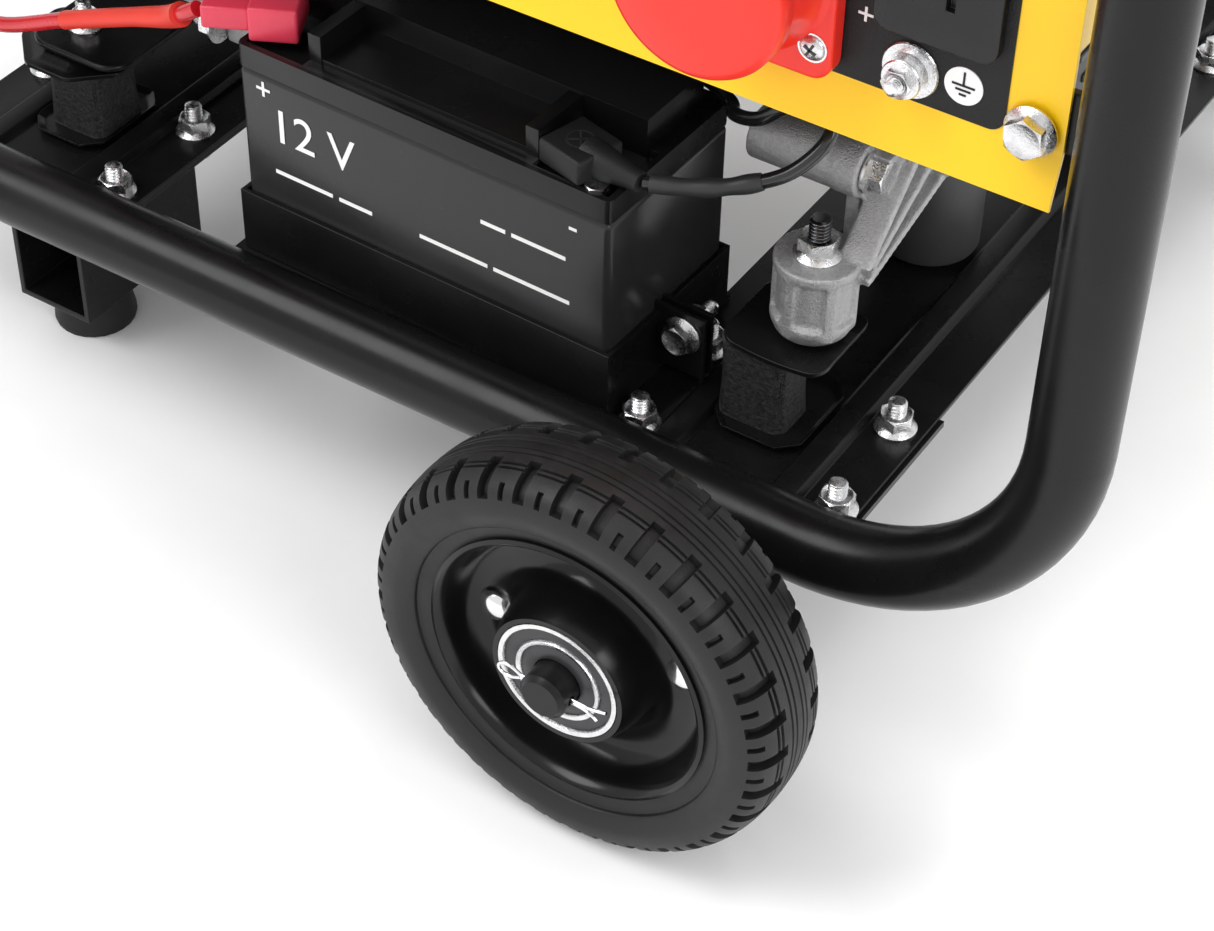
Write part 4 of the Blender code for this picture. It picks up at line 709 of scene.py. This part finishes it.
def build_leads():
    knots = [(0.1308, -0.2039, 0.213), (0.15, -0.196, 0.214), (0.166, -0.1885, 0.2175),
        (0.181, -0.18, 0.2245), (0.19, -0.17, 0.237), (0.185, -0.16, 0.245), (0.17, -0.159, 0.239),
        (0.155, -0.159, 0.226), (0.14, -0.152, 0.218), (0.129, -0.138, 0.2125), (0.105, -0.129, 0.2125),
        (0.05, -0.1275, 0.2125), (0.0000, -0.1275, 0.2125), (-0.035, -0.1302, 0.216), (-0.049, -0.13, 0.229),
        (-0.052, -0.132, 0.236), (-0.052, -0.125, 0.236)]
    line = smooth_line(knots, 8)
    stand("black_lead_jacket", add_pipe(bmesh.new(), line, 0.0029, 20), CABLE_BLACK,
        node="black_battery_lead")
    sleeve = smooth_line(knots, 8)[1:20]
    radii = [0.0036 + 0.0004 * math.sin(0.9 * i) * (0.3 + 0.03 * i) for i in range(len(sleeve))]
    stand("black_lead_sleeve", add_pipe(bmesh.new(), sleeve, radii, 24), SLEEVE_BLACK, slot="black_plastic",
        angle=50)
    knots = [(-0.0802, -0.2092, 0.2155), (-0.0875, -0.2092, 0.2105), (-0.1, -0.206, 0.2025),
        (-0.122, -0.205, 0.1936), (-0.16, -0.205, 0.1779), (-0.1998, -0.205, 0.161), (-0.23, -0.205, 0.16),
        (-0.248, -0.204, 0.175), (-0.25, -0.198, 0.21), (-0.243, -0.188, 0.25), (-0.227, -0.172, 0.285),
        (-0.211, -0.1665, 0.3), (-0.199, -0.1665, 0.3)]
    line = smooth_line(knots, 8)
    stand("red_lead_jacket", add_pipe(bmesh.new(), line, 0.0035, 20), CABLE_RED, node="red_battery_lead")
    sleeve = line[10:33]
    radii = [0.0054 - 0.0013 * min(i / 14, 1.0) for i in range(len(sleeve))]
    stand("red_lead_sleeve", add_pipe(bmesh.new(), sleeve, radii, 24), SLEEVE_RED, slot="boot_red", angle=50)


# Mounts and alternator ----------------------------------------

def octagon(half, corner, soft=0.003, steps=4):
    """The outline of an octagon about (0, 0), its corners softened."""
    a, b = half
    raw = [(a, -b + corner), (a, b - corner), (a - corner, b), (-a + corner, b), (-a, b - corner),
        (-a, -b + corner), (-a + corner, -b), (a - corner, -b)]
    points = []
    for before, at, after in zip(raw[-1:] + raw, raw, raw[1:] + raw[:1]):
        at, before, after = Vector(at), Vector(before), Vector(after)
        reach_in = min(soft, (before - at).length * 0.4)
        reach_out = min(soft, (after - at).length * 0.4)
        one = at + (before - at).normalized() * reach_in
        two = at + (after - at).normalized() * reach_out
        for step in range(steps + 1):
            t = step / steps
            points.append((1 - t) ** 2 * one + 2 * t * (1 - t) * at + t * t * two)
        for t in (0.2, 0.4, 0.6, 0.8):
            points.append(two.lerp(after + (at - after).normalized() * min(soft, (after - at).length * 0.4),
                t))
    return points


def pressed_plate(name, centre, half, corner, height, thickness, material, shape, node=None, slot=None):
    """A pressed sheet with a rounded octagon outline. shape gives each place's height above the height."""
    outline = octagon(half, corner)
    bm = bmesh.new()
    layers = []
    for drop, scales in ((0.0, np.linspace(0.06, 1.0, 16)), (thickness, np.linspace(1.0, 0.06, 16))):
        for scale in scales:
            layers.append([bm.verts.new((centre[0] + p.x * scale, centre[1] + p.y * scale,
                height - drop + shape(p.x * scale, p.y * scale))) for p in outline])
    return stand(name, add_skin(bm, layers), material, node=node, slot=slot, bevel=0.0004, angle=45)


def rubber_block(name, middle, half, low, high):
    """A rubber block with softened corners, waisted a little, its skin rippled from side to side."""
    outline = octagon(half, 0.004, soft=0.002)
    bm = bmesh.new()
    levels = 16
    rings = []
    for level in range(levels + 1):
        t = level / levels
        waist = 1 - 0.055 * math.sin(math.pi * t)
        ring = []
        for i, p in enumerate(outline):
            ripple = 1 + 0.012 * math.sin(2.1 * i) * math.sin(math.pi * t)
            ring.append(bm.verts.new((middle[0] + p.x * waist * ripple, middle[1] + p.y * waist * ripple,
                low + (high - low) * t)))
        rings.append(ring)
    stand(name, add_skin(bm, rings), MOUNT_RUBBER, slot="rubber", angle=50)


def build_mounts():
    for prefix, x in (("alternator_mount", 0.184), ("engine_mount", -CROSS_X)):
        for place, y in zip(("front", "rear"), MOUNT_YS):
            node = f"{prefix}_{place}"
            out = -1 if y < CRANK_Y else 1
            low_half = (0.0205, 0.0258) if x > 0 else (0.0198, 0.026)

            def rim(px, py, half=low_half):
                edge = max(abs(px) / half[0], abs(py) / half[1], (abs(px) + abs(py)) / (sum(half) - 0.008))
                return 0.003 * max(0.0, (edge - 0.86) / 0.14) ** 1.5

            pressed_plate(f"{node}_lower_plate", (math.copysign(CROSS_X, x), y), low_half, 0.008, PLATE_Z,
                0.0012, "black_paint", rim, node=node)
            if x > 0:
                rubber_block(f"{node}_block", (0.1745, y + out * 0.0045), (0.016, 0.0125), PLATE_Z, 0.1405)

                def curl(px, py, out=out):
                    side_lift = 0.0016 * (px / 0.023) ** 2
                    front = max(0.0, (py * out - 0.004) / 0.018)
                    return -0.0006 + side_lift - 0.0022 * front * front * (1 - 0.5 * (px / 0.023) ** 2)

                pressed_plate(f"{node}_upper_plate", (x, y - out * 0.0015), (0.0232, 0.0212), 0.004,
                    MOUNT_TOP_Z - 0.0008, 0.0022, "black_paint", curl, slot="black_paint")
            else:
                rubber_block(f"{node}_block", (x, y), (0.0158, 0.0158), PLATE_Z, 0.1436)

                def dome(px, py):
                    r = max(abs(px), abs(py), (abs(px) + abs(py)) / 1.35)
                    t = min(max((0.0255 - r) / 0.008, 0.0), 1.0)
                    return -0.004 + 0.003 * t * t * (3 - 2 * t)

                pressed_plate(f"{node}_upper_plate", (x, y), (0.0288, 0.0288), 0.017, MOUNT_TOP_Z + 0.0006,
                    0.0022, "black_paint", dome, slot="black_paint")
    base = 0.1048
    profile = [(0, base), (0.0215, base), (0.0225, base + 0.002), (0.0225, 0.15), (0.0222, 0.1545),
        (0.0205, 0.158), (0.0175, 0.16), (0, 0.16)]
    stand("bump_stop_smooth", add_turned(bmesh.new(), profile, (CROSS_X - 0.002, CRANK_Y, 0), (0, 0, 1), 96),
        GREY_RUBBER, node="bump_stop")


def build_end_bracket():
    """The cast end bracket, its parts fused by a remesh that rounds the corners between them."""
    low, high = 0.1885, 0.2125
    bm = bmesh.new()
    add_turned(bm, [(0.0135, low), (0.11, low), (0.11, high), (0.1, high), (0.096, high - 0.006),
        (0.05, high - 0.006), (0.046, high), (0.0135, high)], CRANK, (1, 0, 0), 96, closed=True)
    for k in range(8):
        m = Matrix.Translation(CRANK) @ Matrix.Rotation(k * math.pi / 4 + 0.2, 4, "X")
        add_box(bm, (low + 0.001, -0.003, 0.04), (high - 0.001, 0.003, 0.1), m)
    for side in (-1, 1):
        foot_y = CRANK_Y + side * FOOT_OUT
        add_turned(bm, [(0, 0.1462), (0.0125, 0.1462), (0.0152, 0.1482), (0.0172, 0.153), (0.0172, 0.156),
            (0, 0.156)], (FOOT_X, foot_y, 0), (0, 0, 1), 48)
        add_turned(bm, [(0, 0.154), (0.015, 0.154), (0.015, 0.181), (0, 0.181)], (FOOT_X, foot_y, 0),
            (0, 0, 1), 48)
        add_turned(bm, [(0, 0.1775), (0.0174, 0.1775), (0.0174, 0.1822), (0, 0.1822)], (FOOT_X, foot_y, 0),
            (0, 0, 1), 48)
        for k in range(6):
            m = Matrix.Translation((FOOT_X, foot_y, 0)) @ Matrix.Rotation(k * math.pi / 3 + 0.35, 4, "Z")
            add_box(bm, (0.01, -0.0024, 0.15), (0.0171, 0.0024, 0.18), m)
        inward = -side
        web = [(foot_y + inward * 0.002, 0.1725), (foot_y + inward * 0.07, 0.19),
            (foot_y + inward * 0.062, 0.237), (foot_y + inward * 0.004, 0.1815)]
        add_prism(bm, web if side < 0 else web[::-1], "x", low + 0.0095, high - 0.0085)
        for start, end in (((0.004, 0.1735), (0.07, 0.1905)), ((0.007, 0.179), (0.068, 0.212)),
                ((0.003, 0.1805), (0.062, 0.236))):
            a = Vector((0, foot_y + inward * start[0], start[1]))
            b = Vector((0, foot_y + inward * end[0], end[1]))
            along = (b - a).normalized()
            across = Vector((0, -along.z, along.y)) * 0.0019
            rib = [(q.y, q.z) for q in (a - across, b - across, b + across, a + across)]
            add_prism(bm, rib if side < 0 else rib[::-1], "x", low + 0.008, high - 0.002)
        boss_y = CRANK_Y + side * BOLT_OUT
        add_box(bm, (0.1885, boss_y - 0.003, 0.178), (0.1945, boss_y + 0.003, 0.208))
        add_prism(bm, [(boss_y - 0.004, 0.179), (boss_y + inward * 0.03, 0.19),
            (boss_y + inward * 0.004, 0.214)][:: (1 if side < 0 else -1)], "x", low + 0.002, high - 0.014)
        for z in (CRANK_Z - BOLT_UP, CRANK_Z + BOLT_UP):
            add_rod(bm, (0.1475, boss_y, z), (0.1955, boss_y, z), 0.0113, 48)
            add_rod(bm, (0.185, boss_y, z), (0.1958, boss_y, z), 0.0116, 48)
            add_box(bm, (low + 0.002, min(boss_y, CRANK_Y + side * 0.07), z - 0.008),
                (high - 0.008, max(boss_y, CRANK_Y + side * 0.07), z + 0.008))
    obj = stand("end_bracket_casting", bm, "cast_aluminium", node="alternator_end_bracket", angle=60)
    remesh = obj.modifiers.new("fuse", "REMESH")
    remesh.mode = "VOXEL"
    remesh.voxel_size = 0.0009
    remesh.use_smooth_shade = True
    smooth = obj.modifiers.new("round", "SMOOTH")
    smooth.factor = 0.5
    smooth.iterations = 3


def build_alternator():
    start, end = -0.0347, 0.1882
    profile = [(0.064, start)]
    steps = 46
    for i in range(steps):
        near = start + (end - start) * i / steps
        far = start + (end - start) * (i + 0.5) / steps
        profile += [(0.105, near + 0.0003), (0.105, far), (0.1043, far + 0.0004),
            (0.1043, near + (end - start) / steps - 0.0002)]
    profile += [(0.105, end - 0.0002), (0.064, end)]
    stand("stator_laminations", add_turned(bmesh.new(), profile, CRANK, (1, 0, 0), 96), "dark_steel",
        node="alternator_stator", angle=40)
    cap_in, cap_out = 0.2128, 0.2545
    bm = add_turned(bmesh.new(), [(0.083, cap_in), (0.086, cap_in), (0.0845, cap_out - 0.012),
        (0.08, cap_out - 0.003), (0.07, cap_out), (0, cap_out)], CRANK, (1, 0, 0), 96)
    stand("end_cover_shell", bm, "black_plastic", node="alternator_end_cover", angle=50)
    slots = bmesh.new()
    for k in range(9):
        z = CRANK_Z - 0.048 + k * 0.012
        half = math.sqrt(max(0.064**2 - (z - CRANK_Z) ** 2, 0.0001)) * 0.92
        add_box(slots, (cap_out - 0.0004, CRANK_Y - half, z - 0.0018), (cap_out + 0.001, CRANK_Y + half,
            z + 0.0018))
    stand("end_cover_louvres", slots, "black_plastic", bevel=0.0008)
    refined("rotor_and_crankshaft", bevel=0.0008)


# Engine ----------------------------------------

def build_engine():
    for node, width in (("crankcase", 0.0022), ("finned_cylinder", 0.0006), ("rocker_cover", 0.001),
            ("fan_shroud", 0.001), ("recoil_starter", 0.001), ("recoil_handle", 0.0018),
            ("carburettor", 0.0016), ("starter_motor", 0.0012), ("muffler", 0.002), ("air_filter", 0.0006),
            ("choke_lever", 0.0004), ("dipstick", 0.0008)):
        refined(node, bevel=width, segments=3)
    beam = add_prism(bmesh.new(), rounded((-0.1985, -0.194), (-0.1455, 0.11), 0.012, 6), "z", 0.1464, 0.15)
    add_box(beam, (-0.1985, -0.15, 0.1464), (-0.1455, 0.066, 0.1759))
    stand("engine_base_beam_channel", beam, "black_paint", node="engine_base_beam", bevel=0.0015, segments=3)
    lugs = bmesh.new()
    for low, high in ((-0.154, -0.115), (0.066, 0.07)):
        add_box(lugs, (-0.115, low, 0.156), (-0.1, high, 0.179))
    add_box(lugs, (-0.144, -0.15, 0.164), (-0.1085, 0.066, 0.1764))
    stand("crankcase_lugs", lugs, "cast_aluminium", bevel=0.0025, segments=3)
    nuts = bmesh.new()
    add_flange_nut(nuts, (-0.1152, -0.156, 0.166), (-1, 0, 0), spin=0.2, stud=0.006)
    for y in MOUNT_YS:
        add_flange_nut(nuts, (-CROSS_X, y, 0.1501), (0, 0, 1), spin=0.5, stud=0.006, scale=0.9)
    stand("engine_foot_nuts", nuts, "zinc", angle=30)
    face = -0.304
    vents = bmesh.new()
    for k in range(24):
        m = Matrix.Translation(CRANK) @ Matrix.Rotation(2 * math.pi * k / 24, 4, "X")
        add_box(vents, (face - 0.001, -0.0017, 0.03), (face + 0.001, 0.0017, 0.06), m)
    stand("recoil_vents", vents, GREY_RUBBER, slot="black_plastic", bevel=0.0006)
    bolts = bmesh.new()
    for k in range(4):
        a = math.pi / 4 + k * math.pi / 2
        add_flange_head(bolts, (-0.2645, CRANK_Y + 0.099 * math.cos(a), CRANK_Z + 0.099 * math.sin(a)),
            (-1, 0, 0), spin=a, scale=0.8)
    for y, z in ((-0.11, 0.335), (0.06, 0.195), (0.055, 0.335)):
        add_flange_head(bolts, (-0.035, y, z), (1, 0, 0), scale=0.7)
    tilt = Matrix.Translation(CRANK) @ Matrix.Rotation(math.radians(25), 4, "X")
    top = 0.103 + 8 * 0.0125 + 0.004 + 0.0283
    for x, z in ((-0.15, -0.03), (-0.15, 0.03), (-0.085, -0.03), (-0.085, 0.03)):
        spot = tilt @ Vector((x, top - 0.0003, z))
        add_flange_head(bolts, spot, (tilt @ Vector((0, 1, 0)) - tilt @ Vector((0, 0, 0))).normalized(),
            scale=0.75)
    stand("engine_bolts", bolts, "zinc", angle=30)
    ridges = bmesh.new()
    for k in range(7):
        x = 0.022 + k * 0.031
        add_box(ridges, (x - 0.0035, 0.094, 0.326), (x + 0.0035, 0.2058, 0.37))
    stand("muffler_ribs", ridges, "steel", bevel=0.002)


def build_tank():
    bottom, top = 0.474, 0.612
    bm = bmesh.new()
    under, over = 0.026, 0.034
    lower = [(bottom + under * (1 - math.cos(t)), under * (1 - math.sin(t))) for t in np.linspace(0,
        math.pi / 2, 9)]
    upper = [(top - over * (1 - math.sin(t)), over * (1 - math.cos(t))) for t in np.linspace(0, math.pi / 2,
        10)]
    rings = []
    for z, inset in lower + upper:
        outline = rounded((-0.205 + inset, -0.165 + inset), (0.205 - inset, 0.165 - inset),
            0.045 - inset * 0.6, 12)
        rings.append([bm.verts.new((x, y, z)) for x, y in outline])
    stand("fuel_tank_shell", add_skin(bm, rings), "yellow_paint", node="fuel_tank", angle=50)
    bm = add_prism(bmesh.new(), rounded((-0.225, -0.185), (0.225, 0.185), 0.055, 14), "z", 0.5455, 0.5485)
    stand("fuel_tank_seam", bm, "yellow_paint", bevel=0.001)
    bm = add_turned(bmesh.new(), [(0, 0.606), (0.034, 0.6105), (0.0315, 0.6125), (0.03, 0.615),
        (0.03, 0.6178), (0, 0.6178)], (FILLER_X, 0, 0), (0, 0, 1), 64)
    stand("fuel_filler_neck", bm, "zinc")
    bm = add_rod(bmesh.new(), (-0.19, -0.04, 0.48), (-0.19, -0.04, 0.458), 0.0088, 32)
    stand("fuel_tap_body", bm, "cast_aluminium", bevel=0.001)
    bm = bmesh.new()
    sides, teeth = 144, 18
    base = 0.6183
    rings = []
    for r, rise, wave in ((0.037, 0, 0), (0.0378, 0.002, 0.0012), (0.0376, 0.012, 0.0012),
            (0.0362, 0.0185, 0.001), (0.034, 0.0208, 0), (0.015, 0.0216, 0)):
        ring = []
        for i in range(sides):
            a = 2 * math.pi * i / sides
            reach = r - wave * (0.5 + 0.5 * math.cos(teeth * a))
            ring.append(bm.verts.new((FILLER_X + reach * math.cos(a), reach * math.sin(a), base + rise)))
        rings.append(ring)
    stand("fuel_cap_grip", add_skin(bm, rings), "black_plastic", node="fuel_cap", angle=50)
    refined("fuel_valve_lever", bevel=0.0012)


# Panel ----------------------------------------

def build_panel():
    refined("control_panel", bevel=0.0007, segments=3)
    refined("control_box", bevel=0.001)
    overlay_y = PANEL_FACE_Y - 0.0004
    overlay = rounded((-0.088, 0.307), (0.28, 0.48), 0.006)
    stand("panel_overlay", add_prism(bmesh.new(), overlay, "y", overlay_y, overlay_y + 0.0003), LABEL,
        slot="black_paint")
    front = PANEL_FACE_Y - GAP
    sx, sz = 0.181, 0.3462
    bm = add_prism(bmesh.new(), rounded((sx - 0.038, sz - 0.039), (sx + 0.038, sz + 0.039), 0.008, 8), "y",
        front - 0.009, front - 0.0004)
    bmesh.ops.recalc_face_normals(bm, faces=bm.faces)
    stand("socket_flange", bm, "red_plastic", node="three_phase_socket", bevel=0.0018, segments=4)
    skirt = [(0.027, 0.008), (0.027, 0.0286), (0.029, 0.029), (0.0302, 0.0284), (0.0308, 0.024),
        (0.0318, 0.018), (0.0335, 0.0125), (0.0362, 0.0092), (0.0372, 0.0088)]
    stand("socket_skirt", add_turned(bmesh.new(), skirt, (sx, front, sz), (0, -1, 0), 120), "red_plastic",
        angle=50)
    stand("socket_floor", add_turned(bmesh.new(), [(0, 0.0105), (0.0272, 0.0105)], (sx, front, sz),
        (0, -1, 0), 64), "black_plastic")
    face = 0.0293
    lid = [(0, face), (0.033, face), (0.0336, face + 0.0008), (0.0336, face + 0.0066),
        (0.0325, face + 0.0088), (0.03, face + 0.0098), (0.015, face + 0.01), (0, face + 0.01)]
    bm = add_turned(bmesh.new(), lid, (sx, front, sz), (0, -1, 0), 120)
    add_box(bm, (sx - 0.01, front - face - 0.007, sz + 0.025), (sx + 0.01, front - face - 0.0004, sz + 0.04))
    stand("socket_lid_round", bm, "red_plastic", node="three_phase_lid", angle=50)
    screws = bmesh.new()
    slots = bmesh.new()
    for dx in (-1, 1):
        for dz in (-1, 1):
            spot = (sx + dx * 0.0308, front - 0.009, sz + dz * 0.0262)
            dome = [(0.0048 * math.cos(t), 0.0022 * math.sin(t)) for t in np.linspace(0, math.pi / 2,
                7)][:-1] + [(0, 0.0022)]
            add_turned(screws, [(0.0056, -0.0002), (0.0056, 0.0003), (0.0049, 0.0003)] + dome, spot,
                (0, -1, 0), 40)
            # The dark cross on each screw head is painted shade: two dark bars proud of the zinc dome stand in
            # for the shadowed cross recess.
            for turn in (0.5, 0.5 + math.pi / 2):
                m = Matrix.Translation(spot) @ Matrix.Rotation(turn, 4, "Y")
                add_box(slots, (-0.0026, -0.0024, -0.0005), (0.0026, -0.0012, 0.0005), m)
    stand("socket_screws", screws, "zinc", angle=50)
    # Painted shade of the screws' cross recesses, in the dark bearing_shield material.
    stand("socket_screw_slot_shade", slots, SHIELD, slot="dark_steel")
    refined("dc_outlet", bevel=0.0006)
    refined("mains_outlet", bevel=0.0012)
    refined("breaker_toggle", bevel=0.0004)
    refined("ignition_key", bevel=0.0006)
    meter_x, meter_z, needle_z = 0.196, 0.441, 0.434
    gauge = add_turned(bmesh.new(), [(0, 0.0002), (0.0235, 0.0002), (0.024, 0.004), (0.0215, 0.0062),
        (0.0205, 0.0036), (0, 0.0036)], (meter_x, front, meter_z), (0, -1, 0), 72)
    stand("voltmeter_bezel", gauge, "black_plastic", angle=40)
    dial = add_turned(bmesh.new(), [(0, 0.0039), (0.02, 0.0039)], (meter_x, front, meter_z), (0, -1, 0), 64)
    stand("voltmeter_dial", dial, INK, slot="zinc")
    ticks = bmesh.new()
    for k in range(11):
        m = Matrix.Translation((meter_x, front - 0.0041, needle_z)) @ Matrix.Rotation(math.radians(-60 + 12
            * k), 4, "Y")
        add_box(ticks, (-0.0003, -0.0001, 0.014), (0.0003, 0.0001, 0.0175), m)
    m = Matrix.Translation((meter_x, front - 0.0042, needle_z)) @ Matrix.Rotation(math.radians(22), 4, "Y")
    add_box(ticks, (-0.0003, -0.0001, 0.0), (0.0003, 0.0001, 0.015), m)
    stand("voltmeter_marks", ticks, SHIELD, slot="dark_steel")
    earth()
    text("panel_plus", "+", 0.012, Vector((0.2225, PANEL_FACE_Y - 0.0005, 0.3295)), INK, turn=0.0)
    minus = add_box(bmesh.new(), (0.259, PANEL_FACE_Y - 0.0007, 0.3334), (0.263, PANEL_FACE_Y - 0.0003,
        0.3342))
    stand("panel_minus", minus, INK, slot="zinc")
    disc = add_turned(bmesh.new(), [(0, 0.0004), (0.0071, 0.0004), (0.0071, 0.0008), (0, 0.0008)],
        (0.264, PANEL_FACE_Y, 0.32), (0, -1, 0), 64)
    stand("earth_sign_disc", disc, INK, slot="zinc")
    sign = bmesh.new()
    y0, y1 = PANEL_FACE_Y - 0.0011, PANEL_FACE_Y - 0.0007
    add_box(sign, (0.26365, y0, 0.3205), (0.26435, y1, 0.3255))
    for k, half in enumerate((0.0042, 0.0028, 0.0013)):
        add_box(sign, (0.264 - half, y0, 0.3199 - k * 0.0018), (0.264 + half, y1, 0.3206 - k * 0.0018))
    stand("earth_sign_lines", sign, LABEL, slot="black_plastic")


def earth():
    at, axis = Vector((0.2445, PANEL_FACE_Y - GAP, 0.319)), Vector((0, -1, 0))
    bm = add_turned(bmesh.new(), [(0, 0.0002), (0.0105, 0.0002), (0.0106, 0.001), (0.0102, 0.0016),
        (0, 0.0016)], at, axis, 56)
    add_turned(bm, [(0, 0.0016), (0.0078, 0.0016), (0.0078, 0.003), (0, 0.003)], at, axis, 40)
    add_hexagon(bm, at, axis, 0.01, 0.003, 0.0072, spin=0.2, hollow=0.0038)
    add_turned(bm, [(0, 0.0068), (0.0072, 0.0068), (0.0074, 0.0076), (0.007, 0.0082), (0, 0.0082)], at, axis,
        48)
    add_hexagon(bm, at, axis, 0.0098, 0.008, 0.0118, spin=0.6, hollow=0.0036)
    add_thread(bm, at + axis * 0.01, axis, 0.0049, 0.003, 0.001)
    stand("earth_stud_and_nuts", bm, "zinc", node="earth_terminal", angle=30)


# Stage ----------------------------------------

def build_stage():
    bm = bmesh.new()
    bmesh.ops.create_grid(bm, x_segments=2, y_segments=2, size=9.0)
    mesh = bpy.data.meshes.new("floor")
    bm.to_mesh(mesh)
    bm.free()
    floor = bpy.data.objects.new("floor", mesh)
    bpy.context.scene.collection.objects.link(floor)
    mesh.materials.append(surface("pale_floor", (0.93, 0.93, 0.93), 0.7, tint=0.01, spread=0.03, grain=40.0,
        bump=0.01))
    world = bpy.data.worlds.new("studio")
    bpy.context.scene.world = world
    world.use_nodes = True
    back = world.node_tree.nodes["Background"]
    back.inputs["Color"].default_value = (1.0, 1.0, 1.0, 1.0)
    back.inputs["Strength"].default_value = 0.95
    lamps = (("key", (-1.3, -1.5, 2.4), (0.1, -0.15, 0.15), 1.6, 42.0),
        ("fill", (2.2, -1.0, 1.5), (0.1, -0.15, 0.2), 1.2, 20.0),
        ("top", (0.3, 0.6, 2.8), (0.1, 0.0, 0.2), 1.4, 30.0))
    for name, spot, aim, size, watts in lamps:
        lamp = bpy.data.lights.new(name, "AREA")
        lamp.size = size
        lamp.energy = watts
        obj = bpy.data.objects.new(name, lamp)
        obj.location = spot
        obj.rotation_euler = (Vector(aim) - Vector(spot)).to_track_quat("-Z", "Y").to_euler()
        bpy.context.scene.collection.objects.link(obj)
    lens = bpy.data.cameras.new("camera")
    lens.lens, lens.sensor_width = LENS_MM, SENSOR_MM
    lens.clip_start = 0.05
    camera = bpy.data.objects.new("camera", lens)
    right = Vector((0.8391, 0.5435, 0.0181))
    up = Vector((-0.3789, 0.5604, 0.7365))
    away = Vector((0.3902, -0.6249, 0.6762))
    turn = Matrix((right, up, away)).transposed().to_4x4()
    camera.matrix_world = Matrix.Translation(CAMERA_PLACE) @ turn
    bpy.context.scene.collection.objects.link(camera)
    bpy.context.scene.camera = camera
    bpy.context.scene.view_settings.view_transform = "Standard"


build_stage()
build_frame()
build_handle()
for wheel, way in (("front", -1), ("rear", 1)):
    build_wheel(wheel, way)
build_battery()
build_mounts()
build_end_bracket()
build_alternator()
build_engine()
build_tank()
build_panel()
build_fasteners()
for left_over in sorted(set(NODES) - DONE):
    refined(left_over)
